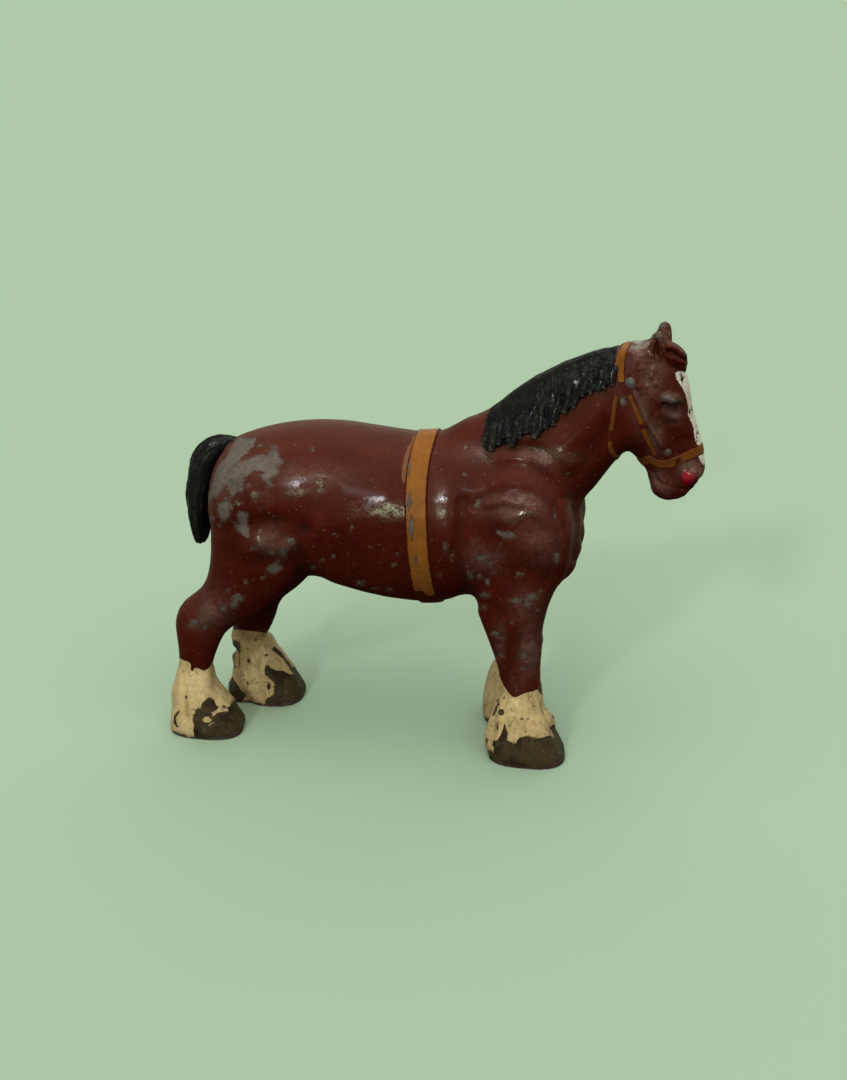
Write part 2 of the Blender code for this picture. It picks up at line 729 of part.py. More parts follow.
def make_mane(skin):
    """Hair combed over the crest to the right side, smooth above and ending in slanted locks."""
    edge = [neck_point(*p) for p in ((0.11, -0.22), (0.36, 0.0), (0.60, 0.33), (0.84, 0.61))]
    edge = [edge[0], *edge, edge[-1]]
    rows, columns = 5 * MANE_LOCKS + 1, 8
    grid = []
    for i in range(rows):
        share = i / (rows - 1)
        part = min(int(share * 3), 2)
        pairs = zip(*edge[part : part + 4])
        low = Vector([between(*values, share * 3 - part) for values in pairs])
        x, z = neck_point(0.11 + 0.745 * share, -0.27 + 0.62 * share)
        middle = Vector((x, 0, z))
        crest = struck(skin, middle, (0, 0, 1))[0]
        drop = Vector((-0.28, -0.76)) * LOCK_DROP * (lock_tip(share) - 0.23)
        hem = struck(skin, (low.x + drop.x, 0, low.y + drop.y), (0, RIGHT, 0))[0]
        first, last = (crest - middle).normalized(), (hem - middle).normalized()
        row = []
        for k in range(columns):
            row.append((middle, first.slerp(last, -0.06 + 1.06 * k / (columns - 1))))
        grid.append(row)

    def thickness(i, k):
        down = k / (columns - 1)
        lock = lock_tip(i / (rows - 1)) ** 0.6
        swell = math.sin(math.pi * (0.12 + 0.76 * down))
        return MANE_THICKNESS * (0.4 + 0.6 * swell) * (1 - 0.55 * down * (1 - lock))

    add_object("mane", skin_patch(skin, grid, thickness), "hair_paint")


def make_forelock(skin):
    """The tuft between the ears, down to where the forehead flattens."""
    rows, columns = 9, 7
    grid = []
    for i in range(rows):
        share = i / (rows - 1)
        half = FORELOCK_WIDTH / 2 * (1 - 0.55 * share**2)
        target = head_point(0.20 + 0.12 * share, 0.05 - 0.22 * share)
        row = []
        for k in range(columns):
            y = half * (2 * k / (columns - 1) - 1)
            origin = Vector((*head_point(0.06, -0.16), 0)).xzy
            row.append((origin, Vector((target[0], y, target[1])) - origin))
        grid.append(row)

    def thickness(i, k):
        crown = math.sin(math.pi * k / (columns - 1)) * (1 - 0.5 * i / (rows - 1))
        return FORELOCK_THICKNESS * (0.4 + 0.6 * crown)

    add_object("forelock", skin_patch(skin, grid, thickness), "coat_paint")


def make_tail(skin):
    """A short bound tail that springs from the dock and hangs down the buttocks."""
    dock = (TAIL_END_X + 0.056 * BODY_LENGTH, BACK_HEIGHT - 0.076 * BARREL_DEPTH)
    shares = [  # how far behind the dock its inner side lies, thickness, inner z, outer z, width
        (0.00, 0.04, -0.09, 0.02, 0.50),
        (0.041, 0.60, -0.14, -0.005, 0.68),
        (0.059, 0.91, -0.27, -0.18, 0.88),
        (0.069, 0.98, -0.50, -0.47, 1.00),
        (0.069, 1.00, -0.70, -0.70, 0.95),
        (0.078, 0.77, -0.86, -0.87, 0.70),
        (0.097, 0.36, -0.94, -0.96, 0.34),
    ]
    sections = []
    for behind, thickness, inner_z, outer_z, width in shares:
        x = dock[0] - behind * BODY_LENGTH
        front = (x - thickness * TAIL_THICKNESS, dock[1] + outer_z * TAIL_LENGTH)
        back = (x, dock[1] + inner_z * TAIL_LENGTH)
        sections.append(Section(front, back, width * TAIL_WIDTH, 0.0, 0.0))
    form = bmesh.new()
    add_loft(form, sections, steps=3, sides=20)
    for vert in form.verts:
        place, out = nearest(skin, vert.co)
        if (vert.co - place).dot(out) < SEAT_GAP:
            vert.co = place + out * SEAT_GAP
    add_object("tail", form, "hair_paint")


def centre_over_origin():
    """Moves everything together, so that the origin is on the ground under the middle of the horse."""
    graph = bpy.context.evaluated_depsgraph_get()
    along = []
    for item in bpy.data.objects:
        if not item.hide_render:
            along += [corner[0] for corner in item.evaluated_get(graph).bound_box]
    for item in bpy.data.objects:
        item.location.x -= (min(along) + max(along)) / 2


def main():
    clear_scene()
    stock = sculpted_casting()
    skin = surface_of(helper(baked(stock, "skin_pattern", "coat_paint")))
    make_casting(stock)
    make_feet()
    make_surcingle(skin)
    make_bridle(skin)
    make_mane(skin)
    make_forelock(skin)
    make_tail(skin)
    centre_over_origin()


main()
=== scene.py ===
"""The looks of the lead toy horse: one hollow casting, enamelled by brush and much played with."""

import math

import bmesh
import bpy
import numpy as np
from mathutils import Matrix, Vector
from mathutils.bvhtree import BVHTree
from mathutils.kdtree import KDTree


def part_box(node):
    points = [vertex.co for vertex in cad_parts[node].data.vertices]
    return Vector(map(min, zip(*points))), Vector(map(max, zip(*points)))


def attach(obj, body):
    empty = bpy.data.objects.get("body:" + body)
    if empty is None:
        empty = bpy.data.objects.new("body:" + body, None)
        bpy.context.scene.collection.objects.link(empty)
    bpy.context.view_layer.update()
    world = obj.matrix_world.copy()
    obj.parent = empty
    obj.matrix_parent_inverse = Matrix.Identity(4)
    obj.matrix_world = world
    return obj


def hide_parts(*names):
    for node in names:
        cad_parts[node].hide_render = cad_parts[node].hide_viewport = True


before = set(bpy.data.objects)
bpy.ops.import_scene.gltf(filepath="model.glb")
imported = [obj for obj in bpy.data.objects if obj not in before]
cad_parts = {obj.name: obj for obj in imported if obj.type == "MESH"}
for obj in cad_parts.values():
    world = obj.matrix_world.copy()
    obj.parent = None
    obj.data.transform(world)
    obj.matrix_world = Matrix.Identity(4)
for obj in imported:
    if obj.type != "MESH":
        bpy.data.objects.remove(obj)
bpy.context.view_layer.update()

MM = 0.001


# The viewpoint: a little towards the horse's head, and above its back. Marks on the paint are placed
# along lines of sight from here, in the photograph's pixels, and then belong to the skin.
PHOTO_SIZE = (847, 1080)
LENS_PIXELS = 1521
PIXELS_PER_MM = 5.85  # at the horse's near side
VIEW_TURN = math.radians(10.18)
VIEW_RISE = math.radians(21.78)
VIEW_DISTANCE = 0.260
VIEW_CENTRE = Vector((-0.00093, 0.0, 0.03572))
SENSOR = 36.0

to_eye = Vector((
    math.sin(VIEW_TURN) * math.cos(VIEW_RISE),
    -math.cos(VIEW_TURN) * math.cos(VIEW_RISE),
    math.sin(VIEW_RISE),
))
eye = VIEW_CENTRE + to_eye * VIEW_DISTANCE
turned = to_eye.to_track_quat("Z", "Y")
view_right = turned @ Vector((1, 0, 0))
view_up = turned @ Vector((0, 1, 0))

camera = bpy.data.objects.new("camera", bpy.data.cameras.new("camera"))
camera.location = eye
camera.rotation_euler = turned.to_euler()
camera.data.sensor_width = SENSOR
camera.data.lens = SENSOR * LENS_PIXELS / max(PHOTO_SIZE)
camera.data.clip_start = MM
bpy.context.scene.collection.objects.link(camera)
bpy.context.scene.camera = camera


def in_photo(points):
    """Where points of the frame, in metres, lie in the photograph."""
    away = np.asarray(points) - np.array(eye)
    depth = -away @ np.array(to_eye)
    across = away @ np.array(view_right) / depth
    up = away @ np.array(view_up) / depth
    return np.stack((
        PHOTO_SIZE[0] / 2 + LENS_PIXELS * across,
        PHOTO_SIZE[1] / 2 - LENS_PIXELS * up,
    ), axis=1)


def line_of_sight(spot):
    """The direction from the eye through a spot in the photograph."""
    across = (spot[0] - PHOTO_SIZE[0] / 2) / LENS_PIXELS
    down = (spot[1] - PHOTO_SIZE[1] / 2) / LENS_PIXELS
    return (view_right * across - view_up * down - to_eye).normalized()


def at_depth(spot, y):
    """The point seen at that spot which lies y metres to the left of the horse's middle."""
    sight = line_of_sight(spot)
    return eye + sight * ((y - eye.y) / sight.y)


# The casting: a shell of lead alloy about 1.6 mm thick, cast in a two-part mould and poured out through
# a hole in the belly. Legs, feathers and hooves are one skin with it, so they are melted together here
# and sculpted as one, and are parted further down.
FEET = ("fore_right", "fore_left", "hind_right", "hind_left")
SKIN_VOXEL = 0.446 * MM
CREASE = math.radians(50)
POUR_HOLE_X = -14.37 * MM
POUR_HOLE_Z = 27.5 * MM
POUR_HOLE_RADIUS = 2.0 * MM
POUR_HOLE_DEPTH = 8 * MM
BELLY_Z = 29.3 * MM
FINE_HEAD = (29, 44)  # in millimetres, how far forward and how high the finer faces begin
FINE_EARS = (33, 68)
SMOOTHED_LESS = (0.45, 0.3)  # on the head, and on the ears besides


def linked(name, mesh):
    """A new object with that mesh, in the scene."""
    made = bpy.data.objects.new(name, mesh)
    bpy.context.scene.collection.objects.link(made)
    return made


def from_form(name, form, *paints):
    """A new object made of a bmesh, which is used up."""
    mesh = bpy.data.meshes.new(name)
    form.to_mesh(mesh)
    form.free()
    mesh.shade_smooth()
    mesh.set_sharp_from_angle(angle=CREASE)
    for paint in paints:
        mesh.materials.append(paint)
    return linked(name, mesh)


def solids_of(*nodes):
    """A bmesh of those nodes' solids, each with its loose triangles merged into a closed skin."""
    made = bmesh.new()
    for name in nodes:
        made.from_mesh(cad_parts[name].data)
    bmesh.ops.remove_doubles(made, verts=made.verts, dist=0.01 * MM)
    return made


def add_rod(form, radius, length, segments, middle):
    """Adds an upright rod round that middle."""
    ends = {"radius1": radius, "radius2": radius, "depth": length}
    rod = bmesh.ops.create_cone(form, cap_ends=True, segments=segments, **ends)["verts"]
    bmesh.ops.translate(form, vec=middle, verts=rod)


def settled(made):
    """Applies the object's modifiers, so that it is a plain mesh."""
    graph = bpy.context.evaluated_depsgraph_get()
    mesh = bpy.data.meshes.new_from_object(made.evaluated_get(graph))
    made.modifiers.clear()
    made.data = mesh
    return made


def melted(made, voxel):
    """Turns overlapping or nearly touching forms into one skin."""
    melt = made.modifiers.new("melt", "REMESH")
    melt.mode = "VOXEL"
    melt.voxel_size = voxel
    melt.use_smooth_shade = True
    return settled(made)


def cut_finer(made, wanted):
    """Cuts the faces in four where wanted says so of all their corners, in millimetres."""
    form = bmesh.new()
    form.from_mesh(made.data)
    edges = [e for e in form.edges if all(wanted(v.co / MM) for v in e.verts)]
    bmesh.ops.subdivide_edges(form, edges=edges, cuts=1, use_grid_fill=True)
    form.to_mesh(made.data)
    form.free()


def keep_values(mesh, name, values):
    """Stores one value for each point, for the materials and the node trees to read."""
    mark = mesh.attributes.new(name, "FLOAT", "POINT")
    mark.data.foreach_set("value", np.asarray(values, np.float32))


def kept_values(mesh, name):
    """The values that were stored under that name."""
    found = np.empty(len(mesh.vertices), np.float32)
    mesh.attributes[name].data.foreach_get("value", found)
    return found


def rising(values, start, over):
    """0 up to the start, and from there up to 1 over that much more."""
    return np.clip((values - start) / over, 0, 1)


def swelling(values, middle, half_width):
    """1 at the middle, falling off to either side."""
    return np.exp(-(((values - middle) / half_width) ** 2))


class Surface:
    """The points of a mesh as arrays, for smoothing and sculpting them."""

    def __init__(self, made):
        self.mesh = made.data
        self.count = len(self.mesh.vertices)
        places = np.empty(self.count * 3)
        self.mesh.vertices.foreach_get("co", places)
        self.places = places.reshape(-1, 3)
        ends = np.empty(len(self.mesh.edges) * 2, np.int32)
        self.mesh.edges.foreach_get("vertices", ends)
        self.ends = ends.reshape(-1, 2).T
        self.links = np.bincount(ends, minlength=self.count)[:, None]

    def means(self, values):
        """For each point, the mean of its neighbours' values."""
        a, b = self.ends
        total = np.empty_like(values)
        for k in range(values.shape[1]):
            total[:, k] = np.bincount(a, values[b, k], self.count)
            total[:, k] += np.bincount(b, values[a, k], self.count)
        return total / self.links

    def ease(self, values, rounds, *steps):
        """Moves values towards their neighbours' means, or away from them by a step less than nought."""
        for _ in range(rounds):
            for step in steps:
                values += step * (self.means(values) - values)

    def smooth(self, rounds, factor):
        """Evens the skin. Each round shrinks it and then swells it back by slightly more."""
        factor = np.reshape(factor, (-1, 1))
        self.ease(self.places, rounds, 0.55 * factor, -0.56 * factor)
        self.put_back()

    def level(self, rounds, factor):
        """Flattens the skin, with no swelling back."""
        self.ease(self.places, rounds, 0.6 * np.reshape(factor, (-1, 1)))
        self.put_back()

    def lift(self, heights, normals):
        """Moves each point out of the skin by its height, in metres."""
        self.places += normals * heights[:, None]

    def put_back(self):
        self.mesh.vertices.foreach_set("co", self.places.ravel())
        self.mesh.update()

    def normals(self):
        self.put_back()
        found = np.empty(self.count * 3, np.float32)
        self.mesh.vertex_normals.foreach_get("vector", found)
        return found.reshape(-1, 3).astype(float)

    def keep_relief(self):
        """Stores how far each point stands out from the skin around it, in millimetres."""
        normals = self.normals()
        total = np.zeros((self.count, 1))
        eased = self.places.copy()
        for rounds, share in ((2, 1.0), (28, 0.6)):
            self.ease(eased, rounds, 0.6)
            total += share * np.einsum("ij,ij->i", self.places - eased, normals)[:, None] / MM
        self.ease(total, 2, 0.5)
        keep_values(self.mesh, "relief", total[:, 0])


stock = solids_of("body_casting", *[f"{part}_{foot}" for foot in FEET for part in ("feather", "hoof")])
add_rod(stock, 1.3 * POUR_HOLE_RADIUS, 3 * MM, 24, (POUR_HOLE_X, 0, BELLY_Z))  # closes the hole for now
casting = melted(from_form("whole_skin", stock), SKIN_VOXEL)
for least_x, least_z in (FINE_HEAD, FINE_EARS):
    cut_finer(casting, lambda p: p.x > least_x and p.z > least_z)

skin = Surface(casting)
skin_x, skin_y, skin_z = skin.places.T  # these follow the points as they are moved
on_head = rising(skin_x, 26 * MM, 6 * MM)
on_ears = rising(skin_z, 68 * MM, 3 * MM)
skin.smooth(40, 1 - SMOOTHED_LESS[0] * on_head - SMOOTHED_LESS[1] * on_ears)


# Muscles, folds and the mould's seam, which the mould maker cut by hand. A stroke is a line on the
# photograph in its pixels, with a half-width in pixels and a lift in millimetres. Both sides of the
# horse are worked as if each were the near one. A stroke at the outline works round behind it too.
def near_side(points):
    """The points as if they all lay on the horse's right side."""
    return np.stack((points[:, 0], -np.abs(points[:, 1]), points[:, 2]), axis=1)


def distance_to_path(spots, path):
    """How far each spot is from a line through the path's points, in pixels."""
    least = np.full(len(spots), np.inf)
    for a, b in zip(path, path[1:]):
        a, b = np.array(a, float), np.array(b, float)
        share = np.clip((spots - a) @ (b - a) / max((b - a) @ (b - a), 1e-9), 0, 1)
        least = np.minimum(least, np.linalg.norm(spots - (a + share[:, None] * (b - a)), axis=1))
    return least


def facing(normals, mirrored_left):
    """1 where the skin faces the eye, falling to 0 where it turns away."""
    across = np.where(mirrored_left, -normals[:, 1], normals[:, 1])
    turn = normals[:, 0] * to_eye.x + across * to_eye.y + normals[:, 2] * to_eye.z
    return rising(turn, 0.05, 0.25)


def sculpt(surface, strokes, round_behind=False, far=False):
    """Works strokes into the skin, on both sides alike, or only on the far legs as they are seen."""
    spots = in_photo(surface.places if far else near_side(surface.places))
    side = surface.places[:, 1] > 1 * MM if far else 1.0
    for path, half_width, lift in strokes:
        normals = surface.normals()
        weight = swelling(distance_to_path(spots, path), 0, half_width) * side
        if not round_behind:
            weight *= facing(normals, surface.places[:, 1] > 0)
        surface.lift(lift * MM * weight, normals)
    surface.put_back()


OUTLINE_STROKES = [
    # poll, lower lip, chin, breast, groin and the back of the quarters
    ([(620, 345), (630, 344)], 8, 0.75),
    ([(643, 342.5), (648, 339), (651, 334)], 4.5, -0.85),
    ([(432, 432), (448, 428), (464, 421.5)], 12, 0.42),
    ([(700, 483), (692, 491)], 7, -0.5),
    ([(650, 478), (656, 490)], 7, 0.5),
    ([(588, 510), (589, 530)], 14, -0.8),
    ([(562, 590), (570, 582)], 5, 0.6),
    ([(584, 540), (578, 558)], 9, -0.45),
    ([(462, 598), (470, 597)], 9, -0.4),
    ([(303, 577), (320, 581)], 9, -0.45),
    ([(217, 450), (207, 474), (202, 500), (203, 526)], 8, -0.75),
    # near legs
    ([(482, 612), (492, 636), (500, 676)], 6, 0.42),
    ([(541, 640), (539, 684)], 6, 0.42),
    ([(500, 690), (490, 720), (486, 745)], 6, 0.28),
    ([(541, 690), (545, 704), (550, 716)], 6, 0.5),
    ([(556, 730), (563, 748)], 6, -0.5),
    ([(240, 705), (247, 722)], 7, -0.5),
    ([(218, 674), (230, 694)], 7, -0.55),
    ([(169, 705), (168, 722)], 7, -0.3),
]
FAR_STROKES = [
    ([(237, 643), (237.5, 649), (236, 656)], 5, 0.75),
    ([(232, 684), (234, 698)], 6, 0.5),
    ([(267, 614), (268, 636)], 10, 0.6),
    ([(276, 640), (286, 655)], 6, -0.3),
    ([(545, 697), (549, 715), (552, 730)], 9, -1.3),
]
BODY_STROKES = [
    # neck meets shoulder
    ([(508, 447), (526, 446.5), (544, 451), (558, 461), (569, 477)], 4.5, -0.34),
    ([(505, 459), (520, 458.5), (535, 462), (547, 469), (556, 479), (561, 490)], 6, 0.46),
    # jugular groove and the muscle above it
    ([(560, 456), (575, 442), (588, 427), (600, 410)], 12, 0.50),
    ([(577, 474), (594, 452), (612, 430)], 7, -0.30),
    # behind the upper arm and in front of the girth
    ([(455, 497), (452, 528), (449, 546)], 4, 0.22),
    ([(462, 502), (459, 530), (458, 560), (466, 590)], 7, -0.35),
    # point of the shoulder: a ball with two ridges over it
    ([(474, 506), (490, 494), (510, 489), (530, 492), (546, 502), (554, 518)], 5, -0.28),
    ([(522, 536), (530, 546)], 19, 0.50),
    ([(489, 505), (500, 502.5), (511, 502), (523, 505), (533, 511), (538, 518)], 3.4, 0.30),
    ([(486, 511), (498, 508), (510, 507)], 3, -0.20),
    ([(503, 521), (512, 517.5), (524, 514), (534, 513)], 3.2, 0.30),
    # the arm in front, and the edge of the breast
    ([(555, 506), (560, 530), (556, 556), (548, 580)], 4, -0.34),
    ([(565, 504), (570, 524), (566, 556), (559, 582)], 3.6, 0.36),
    ([(574, 510), (578, 530), (573, 560)], 3.4, -0.26),
    # quarters over the thigh
    ([(216, 530), (240, 527), (262, 521), (285, 521), (304, 530)], 8, -0.48),
    ([(247, 549), (262, 546), (284, 550)], 10, 0.85),
    ([(259, 541), (263, 542)], 6, 0.45),
    ([(284, 545), (288, 546)], 5, 0.40),
    # flank
    ([(322, 490), (308, 520), (300, 548), (303, 570)], 12, -0.35),
    # hock
    ([(190, 619), (193, 625)], 9, 0.35),
    ([(206, 612), (209, 618)], 6, 0.30),
    ([(199, 610), (199, 628)], 4, -0.25),
    ([(200, 640), (203, 662)], 5, 0.18),
    # knee and fetlock
    ([(528, 650), (530, 660)], 8, 0.28),
    ([(519, 640), (520, 660)], 4, -0.22),
    ([(524, 668), (541, 667)], 3, -0.14),
    ([(515, 674), (515, 694)], 3, 0.18),
    # mould seam on the second thigh
    ([(236, 621), (252, 612), (271, 603)], 1.8, 0.16),
    # ripples under the mane
    ([(472, 459), (479, 464)], 2.4, -0.14),
    ([(486, 457), (493, 463)], 2.4, -0.14),
]
HEAD_STROKES = [
    # eye with its lids and the folds under it
    ([(668, 398.6), (672.5, 398.8)], 4.2, 0.28),
    ([(664, 392.5), (670, 390.4), (676, 392.5)], 3.0, -0.18),
    ([(664, 406.6), (668.6, 408)], 3.4, -0.62),
    ([(672, 407), (679, 405)], 2.6, -0.22),
    ([(662, 413.6), (668, 415), (674, 418)], 3.2, 0.26),
    ([(668, 423), (674, 423)], 2.8, -0.30),
    # temple
    ([(653.6, 368.6), (654.4, 370.6)], 2.4, 0.22),
    ([(651, 375), (652, 377)], 2.2, 0.22),
    ([(656, 382.6), (657.4, 384)], 2.6, 0.22),
    ([(640, 370), (641, 381)], 3.5, 0.14),
    ([(647, 366), (646, 384)], 2.6, -0.16),
    ([(638, 386), (645, 387)], 2.4, 0.14),
    ([(623.4, 399), (622.4, 403.4)], 2.6, 0.24),
    ([(635.6, 396), (641, 407), (647, 418), (652, 430), (661, 447)], 2.2, 0.26),
    ([(651.5, 369.5), (652, 371.5)], 2.2, 0.22),
    ([(651, 376), (652.4, 379)], 2.4, 0.2),
    ([(655, 383), (656.4, 385)], 2.4, 0.2),
    ([(638, 386), (641, 392)], 2.4, 0.2),
    # cheek bone, cast strap and jaw
    ([(634, 393), (642, 412), (649, 426), (658, 440), (664, 448)], 1.7, 0.26),
    ([(638, 392), (648, 412), (658, 430)], 3.0, -0.18),
    ([(664, 428), (676, 440), (690, 440)], 5.0, -0.14),
    # nostril, mouth and chin
    ([(686, 474), (688, 478)], 6.2, 0.14),
    ([(677, 470), (680, 482), (688, 486)], 2.0, -0.16),
    ([(656, 481), (664, 485), (675, 488), (685, 489.5)], 1.8, -0.14),
    ([(651, 470), (656, 478), (661, 488)], 2.2, -0.20),
    # hollow of the ear
    ([(656.8, 342), (656.2, 353)], 3.2, -0.8),
    ([(652.2, 342), (652.6, 356)], 1.6, 0.26),
    ([(661.2, 338), (660.4, 354)], 1.6, 0.26),
]
FAR_CANNON = (1.25 * MM, 16 * MM, 5.5 * MM)  # how far the far hind one is forward, where, and a half-height
NEAR_EAR_BACK = 0.25 * MM  # how far the near ear stands behind the far one
NEAR_EAR_LEAN = (0.75 * MM, 0.5 * MM)  # how far its tip leans back and lies lower

forward, middle, half = FAR_CANNON
far_hind = (skin_x < -10 * MM) & (skin_y > 1 * MM)
skin_x += np.where(far_hind, forward * swelling(skin_z, middle, half), 0)
on_ear = rising(-skin_y, 0, 1.2 * MM) * rising(skin_x, 32 * MM, 3 * MM)
skin_x -= NEAR_EAR_BACK * on_ear * rising(skin_z, 65.5 * MM, 3.5 * MM)
up_ear = on_ear * rising(skin_z, 68 * MM, 6 * MM)
skin_x -= NEAR_EAR_LEAN[0] * up_ear
skin_z -= NEAR_EAR_LEAN[1] * up_ear
sculpt(skin, OUTLINE_STROKES, round_behind=True)
sculpt(skin, FAR_STROKES, round_behind=True, far=True)

# The flank runs flat into the quarters.
FLANK_SPOT, FLANK_HALF = (326, 486), (52, 34)
off = (((in_photo(near_side(skin.places)) - FLANK_SPOT) / FLANK_HALF) ** 2).sum(axis=1)
skin.level(400, np.clip(1.4 - off, 0, 1) * (np.abs(skin_y) > 4 * MM))
sculpt(skin, BODY_STROKES)
sculpt(skin, HEAD_STROKES)

# The breast is two muscles with a furrow between them, and the mould's seam runs all along the middle.
BREAST_X, BREAST_Z, BREAST_HALF = 18 * MM, 40 * MM, 8 * MM
SEAM_Z = 24 * MM
to_side = np.abs(skin_y) / MM
on_breast = swelling(skin_z, BREAST_Z, BREAST_HALF) * (skin_x > BREAST_X)
on_breast *= skin.normals()[:, 0].clip(0, 1)
muscles = 0.54 * swelling(to_side, 3.6, 2.2) - 0.66 * swelling(to_side, 0, 1.1)
seam = 0.07 * swelling(to_side, 0, 0.22) * (skin_z > SEAM_Z)
skin.lift((on_breast * muscles + seam) * MM, skin.normals())

# Long hair falls in flutes down each feather to the hoof.
FLUTES = 8
FLUTE_DEPTH = 0.24
FLUTE_WANDER = 2.2
FEATHER_TOP = 12 * MM
FEATHER_REACH = 11 * MM
for foot in FEET:
    low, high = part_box(f"feather_{foot}")
    middle = np.array((low + high) / 2)
    forward, sideways = skin_x - middle[0], skin_y - middle[1]
    around = np.arctan2(sideways, forward)
    near = np.hypot(forward, sideways) < FEATHER_REACH
    down = rising(skin_z, 0, FEATHER_TOP)
    fade = np.sin(math.pi * rising(down, 0.12, 0.84)) * near
    wander = FLUTE_WANDER * np.sin(2.1 * around + 3 * down + middle[0] * 900)
    wave = np.cos(FLUTES * around + wander)
    skin.lift(FLUTE_DEPTH * MM * wave * fade, skin.normals())

SOLE_Z = 0.35 * MM
skin_z[skin_z < SOLE_Z] = 0
skin.smooth(1, 0.6)
skin.keep_relief()
skin_search = BVHTree.FromObject(casting, bpy.context.evaluated_depsgraph_get())


# The enamel was brushed on: chestnut all over, then cream for the blaze and the socks, dark brown for
# the hooves and a dab of red for each nostril. Where it has chipped off, the grey lead shows. A mark is
# an outline, or an ellipse as its middle, half-width and half-height. It is kept as how far inside it
# the skin lies, in millimetres, so that the materials can fray its edge.
CHIPS = [
    # quarters
    (283.8, 476.7, 2.5, 2.9), (290, 540.5, 4.2, 3.4), (283, 552.4, 3.4, 5.4), (272, 552.4, 2.5, 2.2),
    (274.5, 568, 6.8, 5.1), (246, 581, 2.1, 2.1), (238, 598, 6, 4.2), (234, 604, 4.2, 4.2),
    (223, 608, 3.1, 3.4), (193, 623, 3.4, 3.4), (273.5, 447.4, 2.5, 2.2), (261, 446, 2.9, 1.7),
    (294, 460.5, 1.2, 0.8), (313, 449, 1.4, 1), (253, 548.8, 1.5, 1.2), (220, 545.5, 1, 0.8),
    (238.2, 502.5, 3.4, 2), (212.4, 518, 2.7, 3.1), (228, 590, 1.4, 1.2), (232, 508, 1.4, 1.2),
    (219, 525, 2.5, 2), (226, 499, 1.7, 1.4), (250, 487, 1, 0.8), (258, 495, 2.5, 1.5), (266, 552, 1.4, 1),
    (278, 560, 1.7, 1.4), (262, 577, 1.7, 1.4), (205, 628, 1.7, 2.5),
    # barrel
    (371.5, 479, 0.9, 0.9), (377, 486, 1.1, 0.9), (351.6, 525, 1, 3.6), (335, 534, 1.5, 1),
    (370, 546, 1, 1), (334, 556, 1.2, 1), (397, 554, 1, 1), (393.7, 565, 2.2, 2.2), (312.7, 567.5, 2, 2),
    (360, 583, 2.8, 1.8), (374, 588, 1.8, 1.2), (389, 589.5, 2, 1.2), (354, 470, 0.7, 0.6),
    (322, 560, 0.8, 0.8), (352, 594, 2.2, 0.7), (338, 410.5, 5, 1), (352, 414, 4, 0.9), (367, 418, 7, 1.1),
    (381, 421.6, 5, 1),
    # shoulder
    (477.7, 504, 3.4, 3.4), (508.6, 535, 6.4, 4), (501, 533, 4, 2.4), (482.6, 558, 4.8, 2.9),
    (490, 562, 3.2, 2.4), (470, 575, 2.7, 4), (479, 576.4, 2.4, 1.6), (487.5, 582, 2.4, 2.4),
    (519.8, 574, 3.2, 2.4), (484.7, 595.4, 4, 2.4), (444.7, 524.5, 1.8, 2.1), (446, 546, 1.6, 4),
    (452, 556, 1.6, 3.2), (466.5, 448, 1.6, 1.6), (465, 474, 1.3, 1), (493.8, 482.7, 1.1, 1),
    (568, 473.7, 1.1, 1), (473.5, 460.7, 1.6, 1.3), (491.7, 460.7, 2.4, 1.1), (554.9, 514.7, 1.6, 3.2),
    (556, 557.5, 2.4, 4), (440, 575, 1.6, 1.6), (500, 545, 1.3, 1.1), (541, 590, 1.3, 1),
    (467, 566, 1.1, 1), (494, 571, 1, 0.8),
    # head
    (666.8, 397.4, 3.6, 3.2), (672.4, 400.4, 3.8, 3.4), (622.8, 401.2, 2.4, 4.4), (658.4, 334.6, 4, 4.6),
    (690, 466, 2, 1.6), (703, 477, 2, 3), (644.6, 415.8, 1.6, 3.8), (651, 427, 1.2, 1.6),
    (664, 345, 1.2, 3), (655, 476, 1.4, 1.2), (668, 492, 2, 1),
    # fore leg
    (515.6, 601, 5, 2.6), (526.8, 602.4, 3.4, 6), (531.4, 596.4, 6, 3), (494.8, 633.7, 3.4, 2.6),
    (485, 607, 1.6, 2), (501.3, 655, 2.4, 2.6), (524.3, 655, 3.6, 3), (535, 655.5, 2, 2),
    (523, 668, 2.4, 1.6), (530, 626, 1.2, 1.4), (512, 622, 1, 1.2), (538, 610, 1.2, 1.2),
]
BARE_PATCHES = [
    [(238, 437), (255, 438), (255, 442), (253, 448), (248, 453), (240, 459), (241, 461), (245, 459),
     (251, 457), (260, 455), (268, 453), (270, 451), (273, 447), (278, 451), (279, 457), (284, 459),
     (284, 462), (280, 467), (279, 471), (278, 477), (275, 476), (271, 479), (273, 485), (270, 489),
     (267, 485), (265, 481), (261, 480), (259, 474), (262, 472), (258, 471), (254, 471), (246, 478),
     (243, 485), (244, 489), (241, 492), (236, 493), (234, 496), (230, 496), (230, 492), (227, 488),
     (225, 485), (222, 489), (221, 494), (217, 498), (214, 496), (209, 502), (207, 501), (208, 494),
     (212, 480), (217, 466), (225, 458), (230, 448), (234, 442)],
    [(218, 505), (217, 502), (223, 501), (229, 500), (230, 503), (230, 515), (227, 521), (221, 521),
     (218, 511)],
    [(238, 511), (242, 512), (248, 514), (248, 520), (248, 528), (250, 536), (247, 539), (241, 534),
     (236, 528), (234, 527), (233, 522), (239, 523), (238, 516)],
]
BLAZE = [(675.2, 373), (679, 371), (688.6, 372.4), (740, 371), (740, 446), (702, 446), (697.5, 445.4),
         (694.4, 437.5), (692.4, 424.8), (688, 414.6), (688, 404.4), (685.4, 394.2), (681.6, 386.5),
         (676.5, 379)]
BLAZE_END = [(698.2, 455.4), (704.6, 453.6), (740, 452), (740, 462), (703.3, 465), (701.4, 463)]
NOSTRIL = (687.4, 477.8, 6.4, 6.8)
